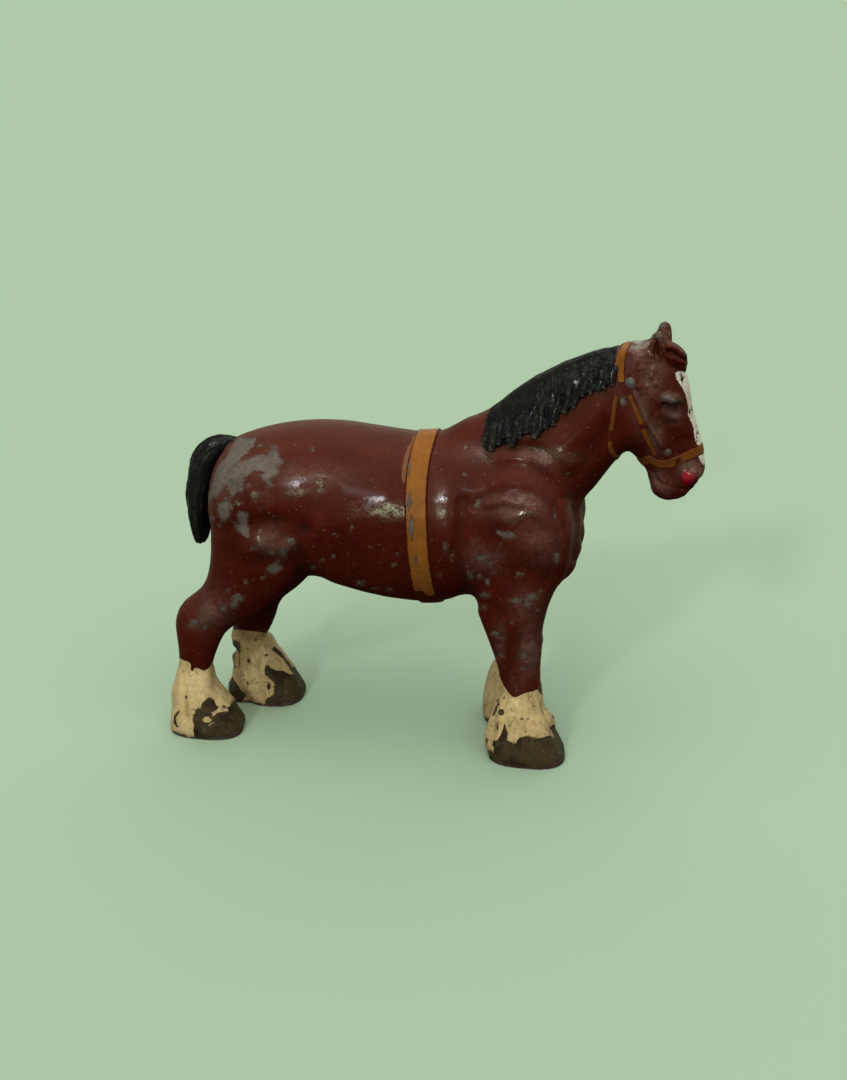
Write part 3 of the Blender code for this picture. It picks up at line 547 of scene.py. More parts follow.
SOCKS = {
    "fore_right": [(470, 700), (490, 675), (502.7, 683.9), (507, 690.8), (511.3, 696), (514.8, 697.7),
                   (519.9, 695.5), (525.9, 692.9), (533.7, 691.2), (538.9, 689.1), (540.6, 686), (552, 680),
                   (590, 780), (470, 780)],
    "hind_right": [(150, 657), (177.9, 657.7), (184.5, 660.7), (189.6, 662.2), (191.1, 665.3),
                   (190.6, 670.4), (192.7, 671.9), (194.7, 667.9), (197.8, 667.9), (203.9, 671.4),
                   (206.9, 669.9), (211, 665.3), (215.1, 658.7), (225, 650), (260, 760), (150, 760)],
    "hind_left": [(215, 628), (234.5, 629.6), (251.8, 631.1), (270.2, 633.7), (290, 636), (330, 730),
                  (215, 730)],
    "fore_left": [(480, 640), (520, 640), (520, 760), (480, 760)],
}
HOOVES = {
    "fore_right": [
        [(483, 738), (488.5, 738.1), (486.8, 743.3), (487.2, 748.5), (493.2, 752.8), (494.1, 746.7),
         (491.5, 745), (494.1, 739), (495.8, 741.6), (501, 735.5), (503.1, 727.8), (504.4, 723.5),
         (506.2, 728.7), (507.9, 733), (506.6, 739.9), (511.3, 742.4), (516.5, 743.3), (518.2, 739),
         (520.8, 737.3), (526.8, 736), (533.7, 737.7), (538.9, 738.6), (545.7, 736.8), (550, 735.5),
         (554.4, 738.1), (552.6, 733), (550, 726.9), (554, 725), (590, 722), (590, 790), (483, 790)],
        [(538, 690.8), (544, 697), (546, 690), (540, 684)],
        [(500.1, 702), (499, 706), (493.2, 716.8), (492, 715), (497, 704)],
    ],
    "hind_right": [
        [(193.7, 731.6), (194.2, 725.5), (192.7, 720.4), (192.7, 715.3), (195.2, 713.3), (195.2, 708.2),
         (197.8, 708.2), (201.8, 710.2), (200.8, 707.1), (202.9, 702), (206.9, 699), (210, 697.4),
         (214.1, 700), (216.1, 705.1), (219.2, 707.1), (215.1, 711.2), (211, 711.7), (212, 716.3),
         (211, 719.4), (208, 716.3), (203.9, 717.3), (201.8, 720.4), (204.9, 722.4), (210, 723),
         (213.1, 717.3), (217.1, 713.3), (221.2, 711.7), (228.4, 711.2), (227.9, 707.1), (230.9, 706.1),
         (230.4, 701), (233.5, 700.5), (250, 690), (270, 760), (195, 760)],
        [(180.4, 711.2), (176.2, 716.3), (176.2, 722.4), (178.4, 727), (176.4, 727.4), (173.8, 723),
         (174, 715.4), (179, 710.4)],
    ],
    "hind_left": [
        [(266.6, 663.8), (271.2, 668.4), (277.3, 670.9), (282.4, 670.4), (288.6, 674), (294.7, 675),
         (289, 668), (310, 660), (320, 720), (270.2, 712), (265.1, 703.1), (266.1, 699), (273.3, 694.9),
         (274.3, 689.8), (273.3, 685.7), (276.3, 684.7), (270.2, 678.6), (265.1, 675.5), (264.6, 669.4)],
        [(271.2, 649), (274.3, 646.4), (280, 651), (292, 666), (289.6, 668), (283, 659)],
        [(229.4, 671.4), (235.5, 681.6), (241.6, 690.8), (246.7, 694.9), (240.6, 702), (220, 702),
         (220, 668)],
    ],
    "fore_left": [],
}
POLISHED = [
    (306, 485, 26, 11), (380, 510, 34, 13), (444, 505, 8, 18), (512, 498, 28, 8), (268, 536, 14, 12),
    (290, 543, 10, 10), (533, 510, 16, 12), (512, 516, 18, 10), (548, 458, 30, 14), (476, 546, 10, 10),
    (262, 500, 12, 12), (654, 372, 14, 18), (643, 386, 14, 12), (641, 402, 8, 22), (655, 433, 8, 18),
    (672, 350, 10, 8), (640, 352, 18, 10), (669, 400, 12, 10), (670, 415, 10, 8), (205, 615, 12, 12),
    (194, 625, 10, 10), (516, 684, 8, 18), (528, 655, 10, 16), (270, 449, 10, 8), (690, 470, 12, 12),
    (658, 480, 12, 12), (484, 456, 12, 8),
]
# Places of painted sheen: a violet-grey tint laid where highlights of the lit enamel fall, each an ellipse
# in pixels.
PAINTED_SHEEN_MARKS = [
    (634, 364, 20, 20), (652, 380, 16, 22), (642, 406, 11, 28), (655, 437, 9, 22), (676, 415, 9, 9),
    (678, 352, 12, 8), (688, 466, 16, 12), (660, 482, 16, 12), (664, 332, 8, 14), (525, 606, 16, 18),
    (530, 650, 13, 34), (500, 640, 7, 20), (310, 476, 44, 13), (550, 456, 30, 8), (516, 506, 32, 14),
    (540, 540, 22, 24), (486, 560, 22, 14), (268, 540, 18, 13), (569, 516, 4, 16), (583, 522, 4, 14),
    (214, 610, 18, 22), (478, 452, 22, 10), (225, 470, 14, 40), (440, 500, 8, 22),
]
SPILT_TAN = [(421, 427), (413, 438), (406.6, 450), (402.6, 464), (401.6, 478), (404, 484), (407, 472),
             (412, 452), (420, 436)]
FOOT_SPOTS = [
    (501, 712.3, 3.4, 3.2), (521.6, 718.8, 1.6, 1.5), (497.5, 700.3, 1.4, 1.6), (504, 697.6, 1, 1.4),
    (224.3, 706.6, 2.6, 1.2), (266.6, 655.1, 1.8, 1.2), (268.7, 686.7, 2, 3.6), (248.8, 661.2, 1.4, 2.4),
    (247.8, 683.7, 1.2, 2.6), (493.7, 670.1, 1.8, 2.2), (235, 667, 1, 1.4), (184, 672, 1.6, 0.8),
    (186, 697.6, 1.4, 2), (497.6, 727, 1, 4), (528, 719, 1.2, 0.8), (534, 706, 1, 0.8), (256, 640, 1, 1.2),
]
SOCK_TOP = {
    "fore_right": 14.3 * MM, "fore_left": 14.6 * MM, "hind_right": 13.2 * MM, "hind_left": 13.6 * MM,
}
CORONET = {"fore": (2.2, 0.42), "hind": (1.6, 0.50)}  # its height at the middle, and its slope
OUTSIDE = -2.0  # what counts as far outside a mark, in millimetres


def reach_of(spots, mark):
    """How far each spot lies from an ellipse's middle: 1 at its edge."""
    x, y, wide, high = mark
    return np.hypot((spots[:, 0] - x) / wide, (spots[:, 1] - y) / high)


def inside_mark(spots, mark):
    """How far inside an ellipse each spot lies, in millimetres. Less than nought is outside."""
    return (1 - reach_of(spots, mark)) * min(mark[2:]) / PIXELS_PER_MM


def inside_outline(spots, outline):
    """The same for a closed outline."""
    closed = outline + outline[:1]
    crossings = np.zeros(len(spots), int)
    for (ax, ay), (bx, by) in zip(closed, closed[1:]):
        spans = (spots[:, 1] < ay) != (spots[:, 1] < by)
        at = ax + (spots[:, 1] - ay) * (bx - ax) / ((by - ay) or 1e-9)
        crossings += spans & (spots[:, 0] < at)
    away = distance_to_path(spots, closed) / PIXELS_PER_MM
    return np.where(crossings % 2 == 1, away, -away)


def inside_any(spots, outlines, marks=()):
    found = np.full(len(spots), OUTSIDE)
    for outline in outlines:
        found = np.maximum(found, inside_outline(spots, outline))
    for mark in marks:
        found = np.maximum(found, inside_mark(spots, mark))
    return found


def keep_mark(surface, name, inside):
    """Marks are stored with 1 added, so that a piece without them counts as outside."""
    keep_values(surface.mesh, name, np.clip(1 + inside, 0, 2))


spots, mirrored = in_photo(skin.places), in_photo(near_side(skin.places))
on_left = skin_y > 0
in_view = facing(skin.normals(), False)
worn = np.where((in_view > 0) & ~on_left, inside_any(spots, BARE_PATCHES, CHIPS), OUTSIDE)

# The left side was played with too: its chips are scattered, with a worn hip like the right one.
LEFT_CHIPS = 90
CHIP_SEED = 5
LEFT_HIP = np.array((-31, 11.5, 47))
LEFT_HIP_WEAR = [  # how far from the hip, and how wide
    ((0, 0, 0), 3.2), ((3.6, 0, -1.8), 2.2), ((-2.0, -1.5, -5.5), 2.0), ((2, -2, 4.5), 1.6),
]
chance = np.random.default_rng(CHIP_SEED)
left_skin = np.flatnonzero((skin_y > 1.5 * MM) & (skin_z > 15 * MM))
for index in chance.choice(left_skin, LEFT_CHIPS):
    size = 0.16 / chance.uniform(0.12, 1.0)
    stretch = (1, 1, chance.uniform(0.7, 1.5))
    away = np.linalg.norm((skin.places - skin.places[index]) * stretch, axis=1) / MM
    worn = np.maximum(worn, np.where(on_left, size - away, OUTSIDE))
for offset, reach in LEFT_HIP_WEAR:
    worn = np.maximum(worn, reach - np.linalg.norm(skin.places / MM - LEFT_HIP - offset, axis=1))
keep_mark(skin, "worn", worn)

# Both sides have the same polished places, and the same places of painted sheen, where a violet-grey tint
# stands in for highlights on the enamel. The spilt tan is on the right only.
keep_mark(skin, "polish", inside_any(mirrored, [], POLISHED))
LEFT_FOOT_PAINTED_SHADE, LEFT_FOOT_TOP = 0.7, 14 * MM
painted_sheen_and_shade = np.zeros(skin.count)
for mark in PAINTED_SHEEN_MARKS:
    painted_sheen_and_shade = np.maximum(painted_sheen_and_shade, np.exp(-1.3 * reach_of(mirrored, mark) ** 2))
# Below the sock tops on the left the mark is set to a fixed share: it stands for painted shade on the far
# feet, whose cream it darkens through heavier runs.
painted_sheen_and_shade = np.where(on_left & (skin_z < LEFT_FOOT_TOP), LEFT_FOOT_PAINTED_SHADE, painted_sheen_and_shade)
keep_values(skin.mesh, "painted_sheen_and_shade", painted_sheen_and_shade)
keep_mark(skin, "spilt", np.where(on_left, OUTSIDE, inside_outline(spots, SPILT_TAN)))

FACE_X = 34 * MM
on_face = skin_x > FACE_X
keep_mark(skin, "blaze", np.where(on_face, inside_any(mirrored, [BLAZE, BLAZE_END]), OUTSIDE))
keep_mark(skin, "nostril", np.where(on_face, inside_mark(mirrored, NOSTRIL), OUTSIDE))

# The paint of the feet is as drawn where it is seen, and plain with a rippled edge elsewhere.
FOOT_TOP, FOOT_REACH = 20 * MM, 13 * MM
sock = np.full(skin.count, OUTSIDE)
hoof = np.full(skin.count, OUTSIDE)
for foot in FEET:
    end, side = foot.split("_")
    low, high = (np.array(corner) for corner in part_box(f"feather_{foot}"))
    middle = (low + high) / 2
    here = (skin_z < FOOT_TOP) & (on_left == (side == "left"))
    here &= np.abs(skin_x - middle[0]) < FOOT_REACH
    forward = (skin_x - middle[0]) / MM
    ripple = 0.5 * np.sin(forward * 1.3 + 9 * middle[1] / MM)
    under, slope = CORONET[end]
    plain_sock = (SOCK_TOP[foot] - skin_z) / MM + ripple
    plain_hoof = under + slope * forward + 0.6 * ripple - skin_z / MM
    share = in_view if HOOVES[foot] else 0.0
    drawn_sock = inside_any(spots, [SOCKS[foot]])
    drawn_hoof = inside_any(spots, HOOVES[foot], FOOT_SPOTS)
    sock = np.where(here, share * drawn_sock + (1 - share) * plain_sock, sock)
    hoof = np.where(here, share * drawn_hoof + (1 - share) * plain_hoof, hoof)
keep_mark(skin, "sock", sock)
keep_mark(skin, "hoof", np.minimum(hoof, sock + 0.5))


def node(tree, kind, inputs=None, **settings):
    """Adds a node. Its inputs are given by name or number, as a value or as another node's output."""
    made = tree.nodes.new(kind)
    for name, value in settings.items():
        setattr(made, name, value)
    for name, value in (inputs or {}).items():
        socket = made.inputs[name]
        if isinstance(value, bpy.types.NodeSocket):
            tree.links.new(value, socket)
        else:
            socket.default_value = (*value, 1) if socket.type == "RGBA" else value
    return made


def first(tree, kind, inputs=None, **settings):
    """Adds a node, of which only the first output is used."""
    return node(tree, kind, inputs, **settings).outputs[0]


def maths(tree, operation, *values, clamp=False):
    return first(tree, "ShaderNodeMath", dict(enumerate(values)), operation=operation, use_clamp=clamp)


def product(tree, value, *others):
    for other in others:
        value = maths(tree, "MULTIPLY", value, other)
    return value


def scaled(tree, value, by, plus, clamp=False):
    """The value times one number plus another."""
    return maths(tree, "MULTIPLY_ADD", value, by, plus, clamp=clamp)


def between(tree, share, a, b):
    """A number between a and b."""
    return first(tree, "ShaderNodeMix", {0: share, 2: a, 3: b})


def mixed(tree, share, a, b):
    """A colour between a and b."""
    return node(tree, "ShaderNodeMix", {0: share, 6: a, 7: b}, data_type="RGBA").outputs[2]


def attribute(tree, name):
    return node(tree, "ShaderNodeAttribute", attribute_name=name).outputs["Fac"]


def place_in_object(tree, waves=None):
    """The place in the object, in metres, or in waves to the metre along each axis."""
    place = node(tree, "ShaderNodeTexCoord").outputs["Object"]
    return first(tree, "ShaderNodeMapping", {"Vector": place, "Scale": waves}) if waves else place


def noise_of(tree, scale, detail=4.0, roughness=0.6):
    """Noise over the object, with so many waves to the metre, all ways alike or along each axis."""
    waves = scale if isinstance(scale, tuple) else None
    inputs = {"Vector": place_in_object(tree, waves), "Scale": 1.0 if waves else scale}
    inputs.update({"Detail": detail, "Roughness": roughness})
    return node(tree, "ShaderNodeTexNoise", inputs).outputs["Fac"]


def spotted(tree, scale, contrast, level, detail=4.0, roughness=0.7):
    """Spots of noise, between 0 and 1."""
    return scaled(tree, noise_of(tree, scale, detail, roughness), contrast, level, clamp=True)


def new_group(tree_kind, name, inputs, outputs):
    """An empty node group. A socket is given by its value, or by its kind where it starts without one."""
    group = bpy.data.node_groups.new(name, tree_kind)
    for way, sockets in (("INPUT", inputs), ("OUTPUT", outputs)):
        for label, value in sockets.items():
            plain = "Color" if isinstance(value, tuple) else "Float"
            kind = value if isinstance(value, str) else plain
            socket = group.interface.new_socket(label, in_out=way, socket_type=f"NodeSocket{kind}")
            if not isinstance(value, str):
                socket.default_value = (*value, 1) if kind == "Color" else value
    return group, group.nodes.new("NodeGroupInput").outputs, group.nodes.new("NodeGroupOutput").inputs


def give(tree, made, **outputs):
    """Links a group's outputs."""
    for name, value in outputs.items():
        tree.links.new(value, made[name])


def use_group(tree, group, inputs):
    return node(tree, "ShaderNodeGroup", inputs, node_tree=group).outputs


def make_frayed_edge():
    """Turns a stored mark into a torn or brushed edge, and the thin line along it."""
    group, given, made = new_group(
        "ShaderNodeTree", "frayed edge",
        {"Mark": 0.0, "Fray": 0.3, "Scale": 900.0, "Soft": 0.04, "Line": 0.14},
        {"Mask": "Float", "Rim": "Float"},
    )
    wander = noise_of(group, given["Scale"], 5.0, 0.62)
    ragged = noise_of(group, maths(group, "MULTIPLY", given["Scale"], 4.0), 4.0, 0.75)
    wander = scaled(group, maths(group, "ADD", wander, ragged), 1.6, -1.6)
    inside = maths(group, "SUBTRACT", given["Mark"], 1.0)
    inside = scaled(group, wander, given["Fray"], inside)
    mask = maths(group, "ADD", maths(group, "DIVIDE", inside, given["Soft"]), 0.5, clamp=True)
    near = maths(group, "DIVIDE", maths(group, "ABSOLUTE", inside), given["Line"])
    give(group, made, Mask=mask, Rim=maths(group, "SUBTRACT", 1.0, near, clamp=True))
    return group


def make_patches():
    """Blotches of two sizes, where something is worn, dulled or mottled in patches."""
    group, given, made = new_group(
        "ShaderNodeTree", "patches",
        {"Broad": 400.0, "Fine": 2000.0, "Contrast": 2.0, "Level": -1.5},
        {"Amount": "Float", "Mask": "Float"},
    )
    broad = noise_of(group, given["Broad"], 4.0, 0.72)
    fine = noise_of(group, given["Fine"], 4.0, 0.76)
    amount = scaled(group, maths(group, "ADD", broad, fine), given["Contrast"], given["Level"])
    give(group, made, Amount=amount, Mask=maths(group, "ADD", amount, 0.0, clamp=True))
    return group


def make_bare_lead():
    """Old lead: dull grey-brown, mottled and finely scratched."""
    group, given, made = new_group(
        "ShaderNodeTree", "bare lead",
        {"Dark": (0.078, 0.060, 0.049), "Pale": (0.185, 0.152, 0.130)},
        {"Color": "Color", "Roughness": "Float", "Height": "Float"},
    )
    inputs = {"Broad": 260.0, "Fine": 1900.0, "Contrast": 2.0, "Level": -1.5}
    mottle = use_group(group, patches, inputs)["Mask"]
    fine = noise_of(group, 2600.0, 3.0, 0.7)
    colour = mixed(group, mottle, given["Dark"], given["Pale"])
    give(group, made, Color=colour, Roughness=scaled(group, fine, 0.3, 0.40),
         Height=maths(group, "MULTIPLY", fine, 0.02))
    return group


BRUSHED_ALONG = (120, 500, 1500)  # waves to the metre: long fine streaks along the horse
CRACKED_UPRIGHT = (1.0, 1.0, 0.4)
SPECK_COLOUR = (0.30, 0.20, 0.16)


def make_aged_enamel():
    """Old brushed enamel: two tones of one colour, grime in its hollows, specks and an uneven skin."""
    group, given, made = new_group(
        "ShaderNodeTree", "aged enamel",
        {"Color": (0.5, 0.5, 0.5), "Second Color": (0.4, 0.4, 0.4), "Grime Color": (0.02, 0.01, 0.005),
         "Grime": 0.5, "Gloss": 0.3, "Specks": 0.3, "Crazing": 0.0, "Brush": 0.02},
        {"Color": "Color", "Roughness": "Float", "Height": "Float"},
    )
    broad = noise_of(group, 140.0, 3.0, 0.5)
    fine = noise_of(group, 1300.0, 4.0, 0.6)
    grit = noise_of(group, 3800.0, 2.0, 0.6)
    tone = scaled(group, fine, 2.2, scaled(group, broad, 2.4, -1.8), clamp=True)
    tone = mixed(group, tone, given["Color"], given["Second Color"])

    hollow = maths(group, "MULTIPLY", attribute(group, "relief"), -5.0, clamp=True)
    dirty = maths(group, "MULTIPLY", hollow, given["Grime"], clamp=True)
    inputs = {"Vector": place_in_object(group, CRACKED_UPRIGHT), "Scale": 800.0}
    cracks = node(group, "ShaderNodeTexVoronoi", inputs, feature="DISTANCE_TO_EDGE").outputs["Distance"]
    cracks = maths(group, "SUBTRACT", 1.0, maths(group, "MULTIPLY", cracks, 13.0), clamp=True)
    broken = maths(group, "GREATER_THAN", noise_of(group, 480.0, 4.0, 0.7), 0.57)
    cracks = product(group, cracks, broken, given["Crazing"])
    dirty = maths(group, "MAXIMUM", dirty, cracks)
    tone = mixed(group, dirty, tone, given["Grime Color"])

    inputs = {"Vector": place_in_object(group), "Scale": 1500.0}
    crystals = node(group, "ShaderNodeTexVoronoi", inputs).outputs
    small = maths(group, "LESS_THAN", scaled(group, grit, 0.5, crystals["Distance"]), 0.40)
    chosen = first(group, "ShaderNodeSeparateColor", {0: crystals["Color"]})
    speck = product(group, small, maths(group, "GREATER_THAN", chosen, 0.90), given["Specks"])
    tone = mixed(group, speck, tone, SPECK_COLOUR)

    rough = scaled(group, noise_of(group, 500.0, 4.0, 0.7), 0.22, -0.11)
    rough = maths(group, "ADD", rough, given["Gloss"])
    rough = scaled(group, dirty, 0.25, rough)
    height = scaled(group, fine, 0.016, maths(group, "MULTIPLY", broad, 0.10))
    height = scaled(group, grit, 0.010, height)
    height = scaled(group, cracks, -0.02, height)
    height = scaled(group, noise_of(group, BRUSHED_ALONG, 4.0, 0.5), given["Brush"], height)
    give(group, made, Color=tone, Roughness=rough, Height=scaled(group, speck, 0.02, height))
    return group


frayed_edge = make_frayed_edge()
patches = make_patches()
bare_lead = make_bare_lead()
aged_enamel = make_aged_enamel()


class Finish:
    """A material made of layers laid over one another, each with a colour, roughness and height."""

    def __init__(self, name, specular=0.3, coat=0.0, coat_roughness=0.1):
        self.material = bpy.data.materials.new(name)
        self.material.use_nodes = True
        self.tree = self.material.node_tree
        self.shader = self.tree.nodes["Principled BSDF"]
        self.shader.inputs["Specular IOR Level"].default_value = specular
        self.shader.inputs["Coat Roughness"].default_value = coat_roughness
        self.coat = coat
        self.colour = self.rough = self.height = self.bare = self.polish = None
        facing_out = node(self.tree, "ShaderNodeNewGeometry").outputs["Normal"]
        self.up = node(self.tree, "ShaderNodeSeparateXYZ", {0: facing_out}).outputs["Z"]

    def enamel(self, colour, second, grime_colour=(0.02, 0.008, 0.004), **amounts):
        inputs = {"Color": colour, "Second Color": second, "Grime Color": grime_colour, **amounts}
        return use_group(self.tree, aged_enamel, inputs)

    def lead(self, **colours):
        return use_group(self.tree, bare_lead, colours)

    def stored(self, name):
        return attribute(self.tree, name)

    def edge(self, mark, **amounts):
        """The frayed edge of a mark, which is given by its stored name or as a number over the surface."""
        mark = self.stored(mark) if isinstance(mark, str) else mark
        return use_group(self.tree, frayed_edge, {"Mark": mark, **amounts})

    def patches(self, broad, fine, contrast, level):
        amounts = {"Broad": broad, "Fine": fine, "Contrast": contrast, "Level": level}
        return use_group(self.tree, patches, amounts)

    def base(self, layer):
        self.colour, self.rough, self.height = layer["Color"], layer["Roughness"], layer["Height"]

    def lay(self, mask, layer, step):
        """Lays a finish over what is there, as thick as its step, which is less than nought for a chip."""
        tree = self.tree
        self.colour = mixed(tree, mask, self.colour, layer["Color"])
        self.rough = between(tree, mask, self.rough, layer["Roughness"])
        self.height = between(tree, mask, self.height, scaled(tree, mask, step, layer["Height"]))

    def tint(self, colour, *shares):
        """Colours what is there, as much as the product of the shares says."""
        self.colour = mixed(self.tree, product(self.tree, *shares), self.colour, colour)

    def finish(self):
        """Links the layers to the shader. Grime has dulled what faces the ground."""
        tree = self.tree
        dulled = scaled(tree, self.up, -0.8, 0.1, clamp=True)
        fed = {"Base Color": self.colour, "Roughness": maths(tree, "ADD", self.rough, dulled, clamp=True)}
        if self.bare:
            fed["Metallic"] = maths(tree, "MULTIPLY", self.bare, 0.06)
        if self.coat:
            clean = scaled(tree, self.up, 2.0, 1.1, clamp=True)
            painted = maths(tree, "SUBTRACT", 1.0, self.bare, clamp=True)
            fed["Coat Weight"] = product(tree, self.polish or 1.0, self.coat, clean, painted)
        bump = {"Height": self.height, "Strength": 1.0, "Distance": MM}
        fed["Normal"] = first(tree, "ShaderNodeBump", bump)
        for name, value in fed.items():
            tree.links.new(value, self.shader.inputs[name])
        return self.material


CHESTNUT, CHESTNUT_DARK = (0.084, 0.0095, 0.0042), (0.046, 0.0036, 0.0016)
CREAM, CREAM_DARK = (0.74, 0.58, 0.28), (0.56, 0.42, 0.19)
WHITE, WHITE_DARK = (0.92, 0.88, 0.76), (0.76, 0.69, 0.52)
HOOF_BROWN, HOOF_OLIVE = (0.050, 0.034, 0.022), (0.075, 0.055, 0.025)
RED, RED_DARK = (0.40, 0.003, 0.020), (0.20, 0.002, 0.010)
PALE_GRIME = (0.10, 0.06, 0.03)
BROWN_SHEEN = (1.0, 0.80, 0.64)
WORN_THIN_AND_SHEEN_BROWN = (0.120, 0.047, 0.030)
# The violet-grey of the painted sheen, which stands in for highlights on the enamel.
PAINTED_SHEEN_COLOUR = (0.195, 0.102, 0.086)
SPILT_COLOUR = (0.22, 0.10, 0.045)
RUN_COLOUR = (0.26, 0.15, 0.075)
FLAKED_COLOUR = (0.03, 0.02, 0.015)
HOOF_EDGE, HOOF_BLOTCH, HOOF_SCUFF = (0.25, 0.14, 0.08), (0.016, 0.011, 0.009), (0.42, 0.33, 0.20)
CHIP_EDGE, CHIP_GRIME = (0.15, 0.070, 0.048), (0.095, 0.050, 0.038)
GRIME_RUNS = (900, 900, 170)  # waves to the metre: runs down the socks


def make_skin_paint():
    """The whole horse's enamel, from the ears to the hooves, in one material."""
    made = Finish("brushed enamel", specular=0.045, coat=1.0, coat_roughness=0.15)
    tree = made.tree
    made.shader.inputs["Specular Tint"].default_value = (*BROWN_SHEEN, 1)
    made.base(made.enamel(CHESTNUT, CHESTNUT_DARK, Grime=0.7, Gloss=0.46, Specks=0.6))

    # Where it has been handled the enamel shines; elsewhere it is dulled by fine scratches.
    shiny = scaled(tree, made.stored("polish"), 0.9, -0.66, clamp=True)
    unscratched = made.patches(520.0, 2600.0, 5.0, -4.5)["Mask"]
    made.polish = scaled(tree, product(tree, shiny, unscratched), 0.8, 0.02)

    # It is worn thin and brown round each bare place and on what stands out. What faces up is paler too:
    # dust, and a painted sheen of the light from above.
    worn_thin_and_top_sheen = made.patches(300.0, 1500.0, 4.5, -5.6)["Amount"]
    worn_thin_and_top_sheen = scaled(tree, made.stored("worn"), 1.4, worn_thin_and_top_sheen)
    worn_thin_and_top_sheen = scaled(tree, made.stored("relief"), 2.5, worn_thin_and_top_sheen)
    # What faces up is tinted paler: dust, and painted sheen of the light from above.
    worn_thin_and_top_sheen = maths(tree, "MAXIMUM", worn_thin_and_top_sheen, scaled(tree, made.up, 0.9, -0.05), clamp=True)
    made.tint(WORN_THIN_AND_SHEEN_BROWN, worn_thin_and_top_sheen, 0.5)

    # A violet-grey tint on the face, the shoulder and the legs is painted sheen: it stands in for
    # highlights on the lit enamel.
    painted_sheen_and_shade = made.stored("painted_sheen_and_shade")
    made.tint(PAINTED_SHEEN_COLOUR, painted_sheen_and_shade, made.patches(420.0, 1700.0, 2.0, -1.4)["Mask"], 0.68)
    made.tint(SPILT_COLOUR, made.edge("spilt", Fray=0.3, Scale=900.0, Soft=0.15)["Mask"], 0.8)

    # The socks are cream with grime running down them, and the blaze is a flaked white.
    sock = made.edge("sock", Fray=0.10, Scale=700.0)["Mask"]
    cream = made.enamel(CREAM, CREAM_DARK, PALE_GRIME, Grime=0.8, Gloss=0.42, Specks=0.0, Crazing=0.7)
    made.lay(sock, cream, 0.04)
    runs = spotted(tree, GRIME_RUNS, 5.0, -2.65, detail=4.0, roughness=0.5)
    # The runs are heavier where the painted sheen and shade mark lies, which darkens the left feet as
    # painted shade.
    runs = scaled(tree, painted_sheen_and_shade, 0.55, runs, clamp=True)
    made.tint(RUN_COLOUR, sock, runs, 0.55)
    blaze = made.edge("blaze", Fray=0.34, Scale=900.0)["Mask"]
    made.lay(blaze, made.enamel(WHITE, WHITE_DARK, PALE_GRIME, Grime=0.8, Gloss=0.42, Specks=0.0), 0.04)
    made.tint(FLAKED_COLOUR, blaze, spotted(tree, 900.0, 30.0, -16.9, detail=5.0, roughness=0.75))

    # The hooves are dark, blotched and scuffed, and each nostril has a dab of red.
    hoof = made.edge("hoof", Fray=0.16, Scale=800.0)
    made.tint(HOOF_EDGE, hoof["Rim"], 0.5)
    made.lay(hoof["Mask"], made.enamel(HOOF_BROWN, HOOF_OLIVE, Grime=0.5, Gloss=0.40, Specks=0.6), -0.04)
    made.tint(HOOF_BLOTCH, spotted(tree, 330.0, 14.0, -7.4), hoof["Mask"], 0.7)
    scuffs = spotted(tree, 760.0, 30.0, -19.4, detail=5.0, roughness=0.75)
    made.tint(HOOF_SCUFF, scuffs, hoof["Mask"], 0.8)
    nostril = made.edge("nostril", Fray=0.30, Soft=0.3)["Mask"]
    made.lay(nostril, made.enamel(RED, RED_DARK, Grime=0.5, Gloss=0.30, Specks=0.0), 0.03)

    # Chips go down to the lead, and so does wear on the sharpest ridges. Grime fills the smaller ones.
    ridge = scaled(tree, made.stored("relief"), 5.0, -0.5)
    chip = made.edge(maths(tree, "MAXIMUM", made.stored("worn"), ridge), Fray=1.0, Scale=950.0)
    made.tint(CHIP_EDGE, chip["Rim"], 0.4)
    made.lay(chip["Mask"], made.lead(), -0.05)
    grimy = spotted(tree, 160.0, 5.0, -1.9, detail=2.0, roughness=0.5)
    small = maths(tree, "SUBTRACT", 1.6, made.stored("worn"), clamp=True)
    made.tint(CHIP_GRIME, grimy, small, chip["Mask"], 0.80)
    made.bare = chip["Mask"]
    return made.finish()


skin_paint = make_skin_paint()
casting.data.materials.clear()
casting.data.materials.append(skin_paint)


# The inside of the shell: a rough grey skin of lead, as the poured-out metal left it. It is seen
# through the pour hole, which is cut up through the belly.
HOLLOW_DEEPER = 1.1 * MM  # the inner wall lies at least so deep in the skin
HOLLOW_ABOVE = 17 * MM  # and above this height


def make_rough_lead():
    made = Finish("rough lead")
    made.base(made.lead(Dark=(0.10, 0.095, 0.09), Pale=(0.20, 0.19, 0.18)))
    return made.finish()


rough_lead = make_rough_lead()


def open_edges(form):
    return [edge for edge in form.edges if edge.is_boundary]


def hollow_inside(node_name, deeper, above):
    """The inner wall of that node's shell as a solid: its faces that lie deep in the skin, closed up."""
    form = solids_of(node_name)
    outer = []
    for face in form.faces:
        middle = face.calc_center_median()
        depth = (skin_search.find_nearest(middle)[0] - middle).length
        if depth < deeper or middle.z < above:
            outer.append(face)
    bmesh.ops.delete(form, geom=outer, context="FACES")
    bmesh.ops.holes_fill(form, edges=open_edges(form))
    bmesh.ops.triangulate(form, faces=form.faces)
    bmesh.ops.recalc_face_normals(form, faces=form.faces)
    return from_form("hollow", form, rough_lead)


def cut_with(made, cutter, operation="DIFFERENCE"):
    """Cuts one solid with another, which is used up."""
    cut = made.modifiers.new("cut", "BOOLEAN")
    cut.operation = operation
    cut.solver = "EXACT"
    cut.material_mode = "TRANSFER"
    cut.object = cutter
    settled(made)
    bpy.data.objects.remove(cutter)
    return made


